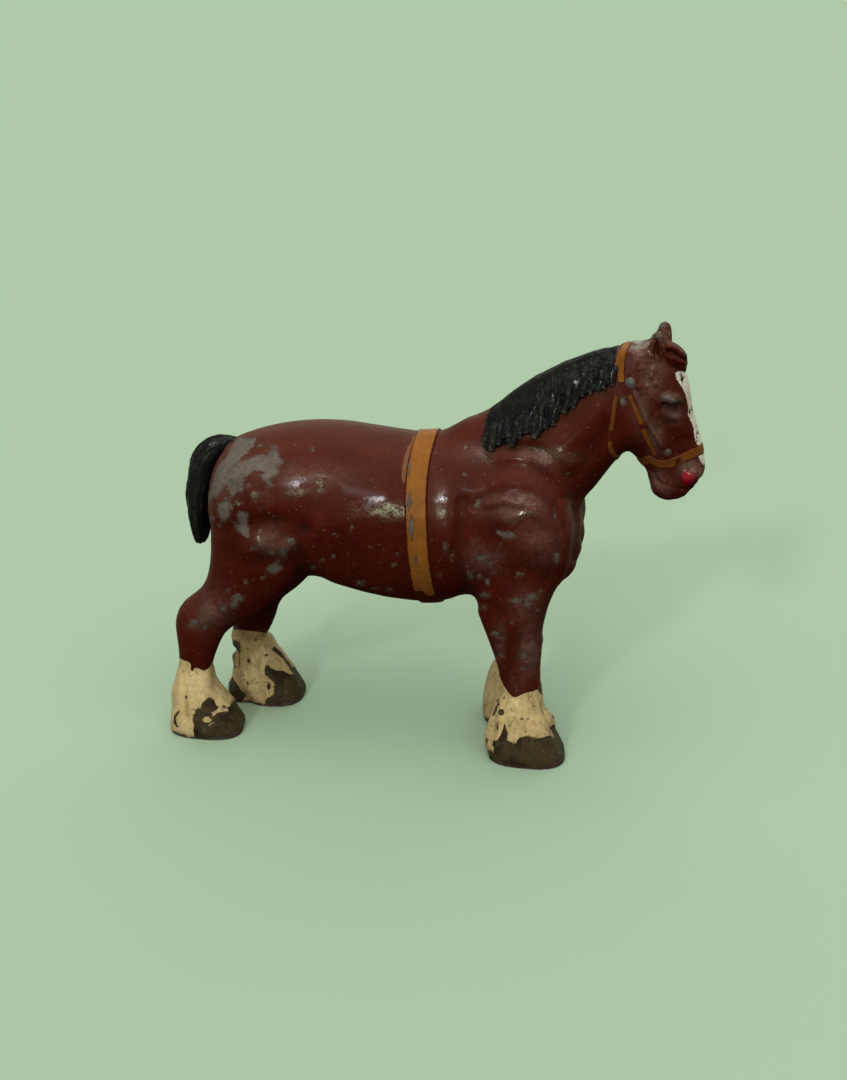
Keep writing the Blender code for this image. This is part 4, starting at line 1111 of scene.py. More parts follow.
def kept_side(source, name, *planes):
    """A closed copy of the part of a solid that lies on the side that each plane faces."""
    form = bmesh.new()
    form.from_mesh(source.data)
    for place, direction in planes:
        whole = form.verts[:] + form.edges[:] + form.faces[:]
        bmesh.ops.bisect_plane(
            form, geom=whole, dist=1e-7, plane_co=place, plane_no=direction, clear_inner=True
        )
        bmesh.ops.holes_fill(form, edges=open_edges(form))
    bmesh.ops.triangulate(form, faces=[f for f in form.faces if len(f.verts) > 4])
    return from_form(name, form, *source.data.materials)


whole_skin = casting
casting = kept_side(whole_skin, "casting", ((0, 0, FEATHER_TOP), (0, 0, 1)))
cut_with(casting, hollow_inside("body_casting", HOLLOW_DEEPER, HOLLOW_ABOVE))
form = bmesh.new()
add_rod(form, POUR_HOLE_RADIUS, POUR_HOLE_DEPTH, 48, (POUR_HOLE_X, 0, POUR_HOLE_Z))
cut_with(casting, from_form("pour_hole", form, rough_lead))
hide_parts("body_casting")
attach(casting, "root")


# The feet: cast with the legs. The feather is the long hair over the hoof, which is upright at the
# heel and level at the coronet. The cream and the dark enamel overlap the line between them.
HOOF_HEIGHT = 5.2 * MM
HOOF_LENGTH = {"fore_right": 14.0, "fore_left": 12.4, "hind_right": 14.0, "hind_left": 14.0}
HEEL_SHARE = {"fore": 0.86, "hind": 0.48}  # of half the foot's length, behind its middle
SPARE = 3 * MM  # how far the block that parts hoof and hair stands past the foot


def coronet_block(foot):
    """The block that holds a hoof and leaves the hair."""
    low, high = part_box(f"hoof_{foot}")
    length = HOOF_LENGTH[foot] * MM
    toe = high.x + SPARE
    back = high.x - 1.02 * length / 2 - HEEL_SHARE[foot.split("_")[0]] * length / 2
    outline = [
        (back - 0.03 * length, -SPARE), (back, 0.50 * HOOF_HEIGHT),
        (back + 0.13 * length, 0.84 * HOOF_HEIGHT), (back + 0.6 * length, HOOF_HEIGHT),
        (toe, HOOF_HEIGHT), (toe, -SPARE),
    ]
    form = bmesh.new()
    rows = [[form.verts.new((x, y, z)) for x, z in outline] for y in (low.y - SPARE, high.y + SPARE)]
    form.faces.new(rows[0])
    form.faces.new(rows[1][::-1])
    for i in range(len(outline)):
        k = (i + 1) % len(outline)
        form.faces.new((rows[0][k], rows[0][i], rows[1][i], rows[1][k]))
    bmesh.ops.recalc_face_normals(form, faces=form.faces)
    return from_form("coronet", form, skin_paint)


def carry_marks(piece, source):
    """Gives a piece that was cut out the marks of the skin it came from, up to its cut edges."""
    tree = KDTree(len(source.data.vertices))
    for i, vertex in enumerate(source.data.vertices):
        tree.insert(vertex.co, i)
    tree.balance()
    nearest = [tree.find(vertex.co)[1] for vertex in piece.data.vertices]
    for name in ("worn", "polish", "painted_sheen_and_shade", "spilt", "blaze", "nostril", "sock", "hoof", "relief"):
        old = piece.data.attributes.get(name)
        if old:
            piece.data.attributes.remove(old)
        keep_values(piece.data, name, kept_values(source.data, name)[nearest])


for foot in FEET:
    end, side = foot.split("_")
    planes = (
        ((0, 0, FEATHER_TOP), (0, 0, -1)),
        ((0, 0, 0), (1 if end == "fore" else -1, 0, 0)),
        ((0, 0, 0), (0, 1 if side == "left" else -1, 0)),
    )
    for part, operation in (("feather", "DIFFERENCE"), ("hoof", "INTERSECT")):
        piece = kept_side(whole_skin, f"{part}_{foot}_cast", *planes)
        cut_with(piece, coronet_block(foot), operation)
        carry_marks(piece, whole_skin)
        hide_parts(f"{part}_{foot}")
        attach(piece, "root")
bpy.data.objects.remove(whole_skin)


# The mane: cast with the neck and combed over the crest to the right side, smooth above and ending in
# rounded locks. It is enamelled black, and its ridges are rubbed to grey and brown.
CREST_LINE = [
    (491, 406.5), (502, 400.6), (509, 395.4), (519, 388.2), (540, 374.6), (568, 361), (596, 351),
    (620.5, 344.4),
]
HEM_LINE = [
    (481.5, 436), (485.5, 449), (492, 451.5), (510, 443), (526, 433.5), (542, 427), (556, 417), (567, 407),
    (578, 397.5), (590, 391.5), (602, 388.5), (610, 383), (614, 376),
]
NECK_AXIS = (Vector((8.8, 0, 52.9)) * MM, Vector((29.6, 0, 62.4)) * MM)
MANE_FROM, MANE_REACH = -0.14, 1.12  # where it starts past the crest, and how far it goes towards the hem
MANE_DEPTH = 0.40 * MM
MANE_SINK = 0.25 * MM
STRAND_LIFT = 0.27 * MM
LOCK_LIFT = 0.50 * MM
LOCK_BREADTHS = (1.8, 2.6)  # by turns
STRANDS = 52
COVER_ROWS, COVER_COLUMNS = 90, 22
HAIR_VOXEL = 0.17 * MM
HAIR_SEED = 11
LOCKS = [
    [(492, 424), (489, 431), (486.5, 438), (486, 444), (487.6, 449.6)],
    [(498, 420), (496, 428), (493.5, 437), (491, 445), (490, 451)],
    [(503, 421), (501, 430), (498, 438), (495.5, 445), (495, 450)],
    [(509, 421), (506, 430), (502.5, 438), (499.5, 446.5)],
    [(515, 421), (512.5, 430), (509.6, 437), (507, 442)],
    [(523.5, 413), (521, 421), (518.6, 428.6), (515, 436.4), (511.4, 445)],
    [(528, 412), (526, 421), (523, 430), (519.5, 440)],
    [(538.5, 394), (537.3, 405), (532.5, 414.6), (529.2, 424.4), (527, 434)],
    [(541, 402), (538.5, 413), (535.6, 424), (533.4, 432), (531.4, 438.6)],
    [(548.6, 398), (546, 405), (543, 412), (541.3, 422.3), (538.5, 431), (534, 437.6)],
    [(553, 400), (551, 410), (548.6, 420), (546.4, 430)],
    [(558, 399), (556.6, 409), (554.6, 418), (552, 426)],
    [(568.6, 377), (566.5, 387), (561.6, 396), (558.6, 405), (556, 413), (556, 420)],
    [(573, 379), (570.6, 389), (568, 398), (566.4, 406), (564.6, 414)],
    [(587, 377), (583, 386), (578.4, 396), (575.6, 404), (573, 408.6)],
    [(591, 373), (588.4, 382), (585, 391), (581, 397)],
    [(597.4, 371), (595, 379), (591.4, 388), (589, 394.6)],
    [(605.6, 366), (603.4, 374), (600.6, 383), (598.4, 392)],
    [(611.6, 362), (610.7, 371), (608, 380), (603.8, 390)],
    [(615.6, 362), (615.6, 371), (612.6, 379), (610, 385.6)],
]


def along(path, share):
    """The spot at that share of a path's length."""
    path = np.array(path, float)
    steps = np.concatenate(([0], np.cumsum(np.linalg.norm(np.diff(path, axis=0), axis=1))))
    return tuple(np.interp(share * steps[-1], steps, path[:, k]) for k in range(path.shape[1]))


def struck(start, toward):
    """Where a line from inside the casting comes out of its skin, and the skin's direction there."""
    place, out, _, _ = skin_search.ray_cast(start, toward.normalized())
    return place, out


def sighted(spot, lift=0.0):
    """The point of the skin that is seen at that spot, or the nearest to it where the skin ends short."""
    place, out, _, _ = skin_search.ray_cast(eye, line_of_sight(spot))
    if not place:
        place, out, _, _ = skin_search.find_nearest(at_depth(spot, 0))
    return place + out * lift


def combed(share, down, lift):
    """A point over the skin of the neck: share is along it, and down is from the crest to the hem.
    The hair is deep on the crest, up to the crest's line in the photograph, and thin at the hem."""
    axis = NECK_AXIS[0].lerp(NECK_AXIS[1], share)
    crest = at_depth(along(CREST_LINE, share), 0) - axis
    hem = sighted(along(HEM_LINE, share)) - axis
    depth = max(crest.length - (struck(axis, crest)[0] - axis).length, 0) * min(10 * share + 0.1, 1)
    place, out = struck(axis, crest.normalized().slerp(hem.normalized(), down))
    fall = min(max(1 - down / 0.8, 0), 1)
    return place + out * (lift + (lift > 0) * max(depth - lift, 0) * fall * fall * (3 - 2 * fall))


def add_cover(form, rows, columns, *sides):
    """A closed sheet. Its underside and its top give their points for shares of its length and breadth."""
    low, high = [
        [
            [form.verts.new(side(i / (rows - 1), k / (columns - 1))) for k in range(columns)]
            for i in range(rows)
        ]
        for side in sides
    ]
    for i in range(rows - 1):
        for k in range(columns - 1):
            form.faces.new((low[i][k], low[i][k + 1], low[i + 1][k + 1], low[i + 1][k]))
            form.faces.new((high[i][k], high[i + 1][k], high[i + 1][k + 1], high[i][k + 1]))
    edge = [(0, k) for k in range(columns)] + [(i, columns - 1) for i in range(1, rows)]
    edge += [(rows - 1, k) for k in range(columns - 2, -1, -1)] + [(i, 0) for i in range(rows - 2, 0, -1)]
    for (a, b), (c, d) in zip(edge, edge[1:] + edge[:1]):
        form.faces.new((low[a][b], low[c][d], high[c][d], high[a][b]))


def mane_side(lift, swell):
    """The mane's underside, or its top, which swells up between its edges."""
    def point(share, across):
        down = MANE_FROM + MANE_REACH * across
        rounded = math.sin(math.pi * (0.08 + 0.84 * across)) ** 0.5 if swell else 1.0
        ends = min(1.0, 6 * share + 0.3, 8 * (1 - share) + 0.3) if swell else 1.0
        return combed(0.005 + 0.99 * share, down, lift * rounded * ends)
    return point


def grown(made, tree, **values):
    """Runs the tree on an object with those inputs, and leaves a plain mesh."""
    grow = made.modifiers.new(tree.name, "NODES")
    grow.node_group = tree
    for item in tree.interface.items_tree:
        if item.in_out == "INPUT" and item.name in values:
            grow[item.identifier] = values[item.name]
    return settled(made)


def end_tree(tree, geometry, given, made):
    """The end of every tree that grows a piece: plain geometry with its material."""
    real = first(tree, "GeometryNodeRealizeInstances", {"Geometry": geometry})
    smooth = first(tree, "GeometryNodeSetShadeSmooth", {"Geometry": real})
    inputs = {"Geometry": smooth, "Material": given["Material"]}
    give(tree, made, Geometry=first(tree, "GeometryNodeSetMaterial", inputs))
    return tree


def curve_along(tree, guides, mode="COUNT", **step):
    """Smooth curves along guide lines, cut into even steps."""
    curve = first(tree, "GeometryNodeMeshToCurve", {"Mesh": guides})
    curve = first(tree, "GeometryNodeCurveSplineType", {"Curve": curve}, spline_type="CATMULL_ROM")
    return first(tree, "GeometryNodeResampleCurve", {"Curve": curve, **step}, mode=mode)


def swept(tree, curve, profile, scale):
    """A profile drawn along curves, with closed ends."""
    inputs = {"Curve": curve, "Profile Curve": profile, "Scale": scale, "Fill Caps": True}
    return first(tree, "GeometryNodeCurveToMesh", inputs)


def circle(tree, points, radius):
    return first(tree, "GeometryNodeCurvePrimitiveCircle", {"Resolution": points, "Radius": radius})


def stored(tree, name, data_type="FLOAT"):
    return first(tree, "GeometryNodeInputNamedAttribute", {"Name": name}, data_type=data_type)


def vectors(tree, operation, inputs):
    return first(tree, "ShaderNodeVectorMath", inputs, operation=operation)


def eased(tree, share, start, stop, low, high):
    """From low at the start to high at the stop, with no corner at either."""
    inputs = dict(enumerate((share, start, stop, low, high)))
    return first(tree, "ShaderNodeMapRange", inputs, interpolation_type="SMOOTHSTEP")


def make_hair_tree():
    """Grows a tapered, slightly rippled strand on each guide line, as thick as the guide says."""
    tree, given, made = new_group("GeometryNodeTree", "combed hair", {
        "Geometry": "Geometry", "Radius": 0.3 * MM, "Root": 0.4, "Tip": 0.15,
        "Ripple": 0.1 * MM, "Ripples": 300.0, "Seed": 1.0, "Material": "Material",
    }, {"Geometry": "Geometry"})
    curve = curve_along(tree, given["Geometry"], Count=26)
    inputs = {"Vector": first(tree, "GeometryNodeInputPosition"), "W": given["Seed"]}
    inputs.update({"Scale": given["Ripples"], "Detail": 1.0})
    noise = node(tree, "ShaderNodeTexNoise", inputs, noise_dimensions="4D").outputs["Color"]
    centred = vectors(tree, "SUBTRACT", {0: noise, 1: (0.5, 0.5, 0.5)})
    ripple = vectors(tree, "SCALE", {0: centred, "Scale": given["Ripple"]})
    curve = first(tree, "GeometryNodeSetPosition", {"Geometry": curve, "Offset": ripple})
    share = node(tree, "GeometryNodeSplineParameter").outputs["Factor"]
    root = eased(tree, share, 0.0, 0.35, given["Root"], 1.0)
    tip = eased(tree, share, 0.6, 1.0, 1.0, given["Tip"])
    scale = product(tree, root, tip, given["Radius"], stored(tree, "thick"))
    return end_tree(tree, swept(tree, curve, circle(tree, 8, 1.0), scale), given, made)


def guide_lines(name, lines, closed=False):
    """An object of lines. Each is its points and how thick its strand is, all along it or at each point."""
    points, edges, thick = [], [], []
    for line, breadth in lines:
        start, count = len(points), len(line)
        points += [tuple(p) for p in line]
        thick += list(np.broadcast_to(breadth, count))
        edges += [(start + i, start + (i + 1) % count) for i in range(count if closed else count - 1)]
    mesh = bpy.data.meshes.new(name)
    mesh.from_pydata(points, edges, [])
    keep_values(mesh, "thick", thick)
    return linked(name, mesh)


def joined(name, *parts):
    """One object of the meshes of several, which are used up."""
    form = bmesh.new()
    for part in parts:
        form.from_mesh(part.data)
        bpy.data.objects.remove(part)
    return from_form(name, form)


def painted_hair(made, paint, rounds):
    """Eases melted hair, finds its relief and gives it its paint."""
    hair = Surface(made)
    hair.smooth(rounds, 0.7)
    hair.keep_relief()
    keep_values(made.data, "polish", np.full(hair.count, 0.3))
    made.data.materials.clear()
    made.data.materials.append(paint)


BLACK, BLACK_BROWN, SOOT = (0.0078, 0.0080, 0.0080), (0.016, 0.0145, 0.0125), (0.003, 0.003, 0.003)


def make_hair_paint():
    """Black enamel, pitted and patchily polished, and rubbed through to the lead on the ridges."""
    made = Finish("black enamel", specular=0.0, coat=1.0, coat_roughness=0.13)
    tree = made.tree
    made.polish = product(tree, made.stored("polish"), made.patches(700.0, 2600.0, 4.0, -3.5)["Mask"])
    made.base(made.enamel(BLACK, BLACK_BROWN, SOOT, Grime=0.8, Gloss=0.38, Specks=0.4))
    pitted = product(tree, noise_of(tree, 1300.0, 2.0, 0.6), made.stored("polish"))
    made.height = scaled(tree, pitted, 0.22, made.height)
    rubbed = made.edge(product(tree, made.stored("relief"), 8.0), Fray=0.8, Scale=900.0, Soft=0.35)["Mask"]
    made.lay(rubbed, made.lead(Dark=(0.026, 0.019, 0.016), Pale=(0.21, 0.17, 0.155)), -0.02)
    made.bare = product(tree, rubbed, 0.6)
    return made.finish()


hair_tree = make_hair_tree()
hair_paint = make_hair_paint()
chance = np.random.default_rng(HAIR_SEED)

form = bmesh.new()
add_cover(form, COVER_ROWS, COVER_COLUMNS, mane_side(-MANE_SINK, False), mane_side(MANE_DEPTH, True))
cap = from_form("mane_cap", form)
lines = []
for i in range(STRANDS):
    share = (i + chance.uniform(0.1, 0.9)) / STRANDS
    start, stop = chance.uniform(0.12, 0.32), chance.uniform(0.55, 0.8)
    bend = chance.uniform(-0.010, 0.010)
    line = []
    for k in range(9):
        down = start + (stop - start) * k / 8
        line.append(combed(min(max(share + bend * math.sin(4 * down), 0.004), 0.996), down, STRAND_LIFT))
    lines.append((line, chance.uniform(0.3, 0.5)))
for number, lock in enumerate(LOCKS):
    line = []
    for k in range(10):
        x, y = along(lock, k / 9)
        sway = math.sin(2.4 * k / 3 + 1.7 * number)
        line.append(sighted((x + sway, y + 0.4 * sway), LOCK_LIFT))
    lines.append((line, LOCK_BREADTHS[number % 2]))
strands = grown(guide_lines("strands", lines), hair_tree, Radius=0.26 * MM, Root=0.25, Tip=0.9,
                Ripple=0.26 * MM, Ripples=620.0, Seed=3.0, Material=hair_paint)
mane = melted(joined("combed_mane", cap, strands), HAIR_VOXEL)
painted_hair(mane, hair_paint, 2)
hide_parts("mane")
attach(mane, "root")


# The forelock: a tuft between the ears, cast with the head and painted chestnut like the coat. It is
# grown from strands too, in layers that reach down into the head.
FORELOCK_LINE = [(666, 338), (672, 341.6), (679, 345.6), (685.4, 351.6), (688.6, 359), (688.8, 370)]
FORELOCK_STROKES = [
    ([(672, 351), (679, 357), (686.5, 360)], 2.4, -0.5),
    ([(676, 366.5), (684, 365)], 1.8, -0.22),
    ([(668, 347), (676, 349.5), (682, 354)], 2.6, 0.2),
    ([(674, 358), (678, 362), (684, 362.6)], 1.8, 0.2),
]
FORELOCK_VOXEL = 0.15 * MM
lines = []
for side in range(-3, 4):
    sway, begin = chance.uniform(-0.3, 0.3) * MM, chance.uniform(0, 0.12)
    for depth in range(4):
        line = []
        for k in range(8):
            share = begin + (1 - begin) * k / 7
            x, y = along(FORELOCK_LINE, share * (1 - 0.03 * abs(side)))
            inward = side * 0.82 * MM * (1 - 0.40 * share ** 2) + sway * math.sin(5 * share)
            sunk = 4.2 + 0.9 * abs(side) + 4.2 * depth
            spot = (x - sunk * (0.55 + 0.45 * share), y + sunk * (1 - 0.75 * share))
            line.append(at_depth(spot, inward))
        lines.append((line, chance.uniform(1.1, 1.4)))
forelock = grown(guide_lines("tuft", lines), hair_tree, Radius=0.62 * MM, Root=0.8, Tip=0.55,
                 Ripple=0.7 * MM, Ripples=330.0, Seed=6.0, Material=skin_paint)
forelock = melted(joined("tuft_between_ears", forelock), FORELOCK_VOXEL)
tuft = Surface(forelock)
tuft.smooth(5, 0.8)
sculpt(tuft, FORELOCK_STROKES)
painted_hair(forelock, skin_paint, 2)
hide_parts("forelock")
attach(forelock, "root")


# The tail: cast against the buttocks, its hair combed down from the dock and bound short. It is
# enamelled black like the mane.
TAIL_STATIONS = [  # a spot on its outer side, a spot on its inner side, its width in millimetres
    ((237, 436.4), (240, 446), 2.4), ((222, 434.4), (229, 449), 3.8), ((207, 437.6), (222, 457), 5.2),
    ((195.6, 447), (219, 466), 6.2), ((191, 462), (217, 477), 7.0), ((188, 478), (215, 489), 7.2),
    ((186.4, 495), (213, 503), 7.0), ((188, 512), (211.6, 517), 6.4), ((191.4, 527), (211, 529), 5.2),
    ((195, 538), (208, 538), 3.8), ((198, 541.4), (205, 541), 2.0),
]
CORE_REACH, STRAND_REACH = 0.88, 0.84  # how far out in its outline the core and the strands lie
CORE_ROUND, CORE_DOWN = 24, 40
TAIL_STRANDS = 30


def tail_point(share, turn, reach):
    """A point round the tail: share is down it, and turn is round it from its outer side."""
    step = share * (len(TAIL_STATIONS) - 1)
    low = min(int(step), len(TAIL_STATIONS) - 2)
    mix = step - low
    (a_out, a_in, a_width), (b_out, b_in, b_width) = TAIL_STATIONS[low], TAIL_STATIONS[low + 1]
    outer = at_depth(a_out, 0).lerp(at_depth(b_out, 0), mix)
    inner = at_depth(a_in, 0).lerp(at_depth(b_in, 0), mix)
    width = (a_width + (b_width - a_width) * mix) * MM
    side = Vector((0, -math.sin(turn) * width / 2, 0))
    return (outer + inner) / 2 + ((outer - inner) / 2 * math.cos(turn) + side) * reach


form = bmesh.new()
rings = []
for i in range(CORE_DOWN + 1):
    turns = [2 * math.pi * k / CORE_ROUND for k in range(CORE_ROUND)]
    rings.append([form.verts.new(tail_point(i / CORE_DOWN, turn, CORE_REACH)) for turn in turns])
for a, b in zip(rings, rings[1:]):
    for k in range(CORE_ROUND):
        beside = (k + 1) % CORE_ROUND
        form.faces.new((a[k], a[beside], b[beside], b[k]))
form.faces.new(rings[0])
form.faces.new(rings[-1][::-1])
bmesh.ops.recalc_face_normals(form, faces=form.faces)
core = from_form("tail_core", form)
lines = []
for i in range(TAIL_STRANDS):
    turn = 2 * math.pi * (i + chance.uniform(-0.3, 0.3)) / TAIL_STRANDS
    drift = chance.uniform(-0.35, 0.35)
    start, stop = chance.uniform(0.0, 0.12), chance.uniform(0.86, 1.0)
    line = []
    for k in range(14):
        share = start + (stop - start) * k / 13
        line.append(tail_point(share, turn + drift * (share - 0.5), STRAND_REACH))
    lines.append((line, chance.uniform(0.6, 1.25)))
strands = grown(guide_lines("tail_strands", lines), hair_tree, Radius=0.50 * MM, Root=0.5, Tip=0.35,
                Ripple=0.9 * MM, Ripples=300.0, Seed=9.0, Material=hair_paint)
tail = melted(joined("combed_tail", core, strands), HAIR_VOXEL)
painted_hair(tail, hair_paint, 3)
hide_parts("tail")
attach(tail, "root")


# The belly band: a low raised strap round the barrel, cast with it. It is painted tan only down to the
# turn of the belly. Grime lies along its edges, and it is rubbed down to the lead in places.
GIRTH_MIDDLE = Vector((0.3, 0, 40.0)) * MM
GIRTH_UP = Vector((-1.2, 0, 14.45)).normalized()
GIRTH_FORWARD = 0.8 * MM  # how far forward it slants over the back
GIRTH_POINTS = 90
BAND_WIDTH, BAND_THICKNESS, BAND_PAINTED = 3.7 * MM, 0.32 * MM, 1.60  # the last in millimetres to each side
UNDER_BELLY = [
    (380, 591), (423, 591), (425.5, 594.5), (430, 596), (435, 594.5), (438, 590), (480, 590), (480, 640),
    (380, 640),
]
BAND_RUBS = [(409.4, 468, 1.0, 8), (409.6, 502, 2.2, 8), (411.4, 529, 2.4, 11), (416, 560, 1.2, 5)]
STRAP_SINK = 0.2 * MM
STRAP_STEP = 0.25 * MM
HARNESS_TAN, HARNESS_TAN_DARK = (0.30, 0.112, 0.018), (0.22, 0.074, 0.012)
BRIDLE_TAN, BRIDLE_TAN_DARK = (0.21, 0.066, 0.010), (0.12, 0.035, 0.007)
STRAP_GRIME, STRAP_EDGE = (0.03, 0.014, 0.006), (0.018, 0.008, 0.004)


def make_strap_tree():
    """Lays a strap with rounded edges along a line on the skin, following the skin across its width too."""
    tree, given, made = new_group("GeometryNodeTree", "strap on skin", {
        "Geometry": "Geometry", "Width": 1.0 * MM, "Thickness": 0.3 * MM, "Sink": 0.2 * MM,
        "Step": 0.25 * MM, "Skin": "Object", "Material": "Material",
    }, {"Geometry": "Geometry"})
    under = node(tree, "GeometryNodeObjectInfo", {"Object": given["Skin"]}).outputs["Geometry"]
    where = first(tree, "GeometryNodeInputPosition")
    facing_out = first(tree, "GeometryNodeInputNormal")

    def sampled(field):
        """The field on the skin, at the point of it that is nearest."""
        inputs = {"Mesh": under, "Value": field, "Sample Position": where}
        return first(tree, "GeometryNodeSampleNearestSurface", inputs, data_type="FLOAT_VECTOR")

    # The curve along the skin, with its normals square to the skin
    curve = curve_along(tree, given["Geometry"], "LENGTH", Length=given["Step"])
    inputs = {"Curve": curve, "Normal": sampled(facing_out)}
    curve = first(tree, "GeometryNodeSetCurveNormal", inputs, mode="FREE")

    # The profile, which remembers how far each of its points lies up and across
    depth = maths(tree, "ADD", given["Thickness"], given["Sink"])
    inputs = {"Width": depth, "Height": given["Width"]}
    profile = first(tree, "GeometryNodeCurvePrimitiveQuadrilateral", inputs)
    inputs = {"Curve": profile, "Count": 4, "Radius": product(tree, depth, 0.45), "Limit Radius": True}
    profile = first(tree, "GeometryNodeFilletCurve", inputs, mode="POLY")
    inputs = {"Curve": profile, "Length": product(tree, given["Step"], 0.8)}
    profile = first(tree, "GeometryNodeResampleCurve", inputs, mode="LENGTH")
    apart = node(tree, "ShaderNodeSeparateXYZ", {0: where}).outputs
    for name, value in (("rise", apart["X"]), ("across", apart["Y"])):
        inputs = {"Geometry": profile, "Name": name, "Value": value}
        profile = first(tree, "GeometryNodeStoreNamedAttribute", inputs, data_type="FLOAT", domain="POINT")

    # Every point of the strap is then set on the skin beneath it, as high as its profile says
    strap = swept(tree, curve, profile, stored(tree, "thick"))
    middle = product(tree, maths(tree, "SUBTRACT", given["Thickness"], given["Sink"]), 0.5)
    rise = maths(tree, "ADD", stored(tree, "rise"), middle)
    lift = vectors(tree, "SCALE", {0: sampled(facing_out), "Scale": rise})
    placed = vectors(tree, "ADD", {0: sampled(where), 1: lift})
    strap = first(tree, "GeometryNodeSetPosition", {"Geometry": strap, "Position": placed})
    return end_tree(tree, strap, given, made)


def strap_on_skin(name, path, width, thickness, paint, closed=False, breadths=1.0):
    """A strap along points on the casting's skin. Its breadths are shares of its width."""
    made = grown(guide_lines(name, [(path, breadths)], closed), strap_tree, Width=width,
                 Thickness=thickness, Sink=STRAP_SINK, Step=STRAP_STEP, Skin=casting, Material=paint)
    form = bmesh.new()
    form.from_mesh(made.data)
    bmesh.ops.remove_doubles(form, verts=form.verts, dist=1e-6)
    bmesh.ops.recalc_face_normals(form, faces=form.faces)
    form.to_mesh(made.data)
    form.free()
    return made


def make_harness_paint(name, tan, second_tan, soft):
    """Tan where a strap was painted, the coat's chestnut beyond it, and grime along its edges."""
    made = Finish(name, specular=0.07, coat=0.05, coat_roughness=0.15)
    made.shader.inputs["Specular Tint"].default_value = (*BROWN_SHEEN, 1)
    made.base(made.enamel(CHESTNUT, CHESTNUT_DARK, Grime=0.7, Gloss=0.46, Specks=0.5))
    tan = made.enamel(tan, second_tan, STRAP_GRIME, Grime=0.9, Gloss=0.45, Specks=0.4)
    painted = made.edge("painted", Fray=0.22, Scale=900.0, Soft=soft)
    made.tint(STRAP_EDGE, painted["Rim"], 0.7)
    made.lay(painted["Mask"], tan, 0.03)
    made.bare = made.edge("rubbed", Fray=0.4, Scale=800.0)["Mask"]
    made.lay(made.bare, made.lead(), -0.05)
    return made.finish()


def paint_strap(made, half_width, gaps=(), rubs=()):
    """Marks where a strap is painted: out to the half-width, in millimetres, and outside the gaps, which
    are outlines. It is rubbed bare where the rubs are, on the right side only."""
    strap = Surface(made)
    painted = half_width - np.abs(kept_values(made.data, "across")) / MM
    spots = in_photo(near_side(strap.places))
    for gap in gaps:
        painted = np.minimum(painted, -inside_outline(spots, gap))
    keep_mark(strap, "painted", painted)
    rubbed = inside_any(spots, [], rubs)
    keep_mark(strap, "rubbed", np.where(strap.places[:, 1] < 0, rubbed, OUTSIDE))


strap_tree = make_strap_tree()
harness_paint = make_harness_paint("tan harness enamel", HARNESS_TAN, HARNESS_TAN_DARK, soft=0.10)
bridle_paint = make_harness_paint("tan bridle enamel", BRIDLE_TAN, BRIDLE_TAN_DARK, soft=0.28)

path = []
for i in range(GIRTH_POINTS):
    turn = 2 * math.pi * i / GIRTH_POINTS
    forward = Vector((GIRTH_FORWARD * max(math.cos(turn), 0) ** 8, 0, 0))
    toward = GIRTH_UP * math.cos(turn) + Vector((0, -1, 0)) * math.sin(turn)
    path.append(struck(GIRTH_MIDDLE + forward, toward)[0])
band = strap_on_skin("belly_band", path, BAND_WIDTH, BAND_THICKNESS, harness_paint, closed=True)
paint_strap(band, BAND_PAINTED, [UNDER_BELLY], BAND_RUBS)
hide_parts("surcingle")
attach(band, "root")


# The bridle: cast as low straps on the head and picked out with a fine brush in the same tan. The brush
# left gaps in the throat lash, the cheek straps and the noseband.
HEADPIECE_SPOTS = [
    (621.4, 382), (621.2, 378), (620.6, 372), (620.2, 364), (620.6, 357), (624.2, 350), (626.4, 344.5),
]
HEADPIECE_BREADTHS = [0.8, 0.95, 1.15, 1.65, 1.7, 1.15, 1.05]
THROAT_SPOTS = [(616.4, 396.6), (613.9, 408.7), (611.8, 424.4), (610.2, 434), (609.6, 442.3),
                (611.4, 450.8)]
THROAT_GAP = [(604, 433), (610, 430), (616, 434), (616, 438), (611, 442), (604, 440)]
CHEEK_SPOTS = [
    (629.7, 395), (633, 403.5), (636.6, 411.5), (640, 420), (642.4, 427), (645.6, 435.6), (650.4, 446),
    (655.4, 455),
]
CHEEK_GAP = [(634, 423.5), (641, 424.5), (650, 421), (650, 430), (645, 429), (638, 431.5)]
NOSE_SPOTS = [
    (649.6, 459), (653, 461.6), (658.4, 463.8), (666, 464.4), (675, 461.6), (684, 457.6), (692, 454),
    (698, 451.2),
]
NOSE_GAP = [(674.6, 465), (676, 459), (681, 457), (681, 463)]
BRIDLE_THICKNESS = 0.14 * MM
HEADPIECE_THICKNESS = 0.16 * MM
HEADPIECE_WIDTH, THROAT_WIDTH, NOSE_WIDTH, CHEEK_WIDTH = 1.3 * MM, 0.86 * MM, 1.6 * MM, 0.95 * MM


def on_both_sides(spots):
    """The points of the skin on the right that are seen at those spots, and their matches on the left."""
    right = [sighted(spot) for spot in spots]
    return right, [skin_search.find_nearest(Vector((p.x, -p.y, p.z)))[0] for p in right]


def across_from(point, direction, count):
    """Points of the skin from one on the right, round that side of the head, to its match on the left."""
    middle = Vector((point.x, 0, point.z))
    round_by = Vector((direction[0], 0, direction[1])).normalized()
    found = []
    for turn in np.linspace(math.pi / 2, -math.pi / 2, count)[1:-1]:
        found.append(struck(middle, round_by * math.cos(turn) + Vector((0, -1, 0)) * math.sin(turn))[0])
    return found


right, left = on_both_sides(HEADPIECE_SPOTS)
over = across_from(right[-1], direction=(0.15, 1), count=7)
breadths = HEADPIECE_BREADTHS + [1.0] * len(over) + HEADPIECE_BREADTHS[::-1]
headpiece = strap_on_skin("headpiece_strap", right + over + left[::-1], HEADPIECE_WIDTH,
                          HEADPIECE_THICKNESS, harness_paint, breadths=breadths)

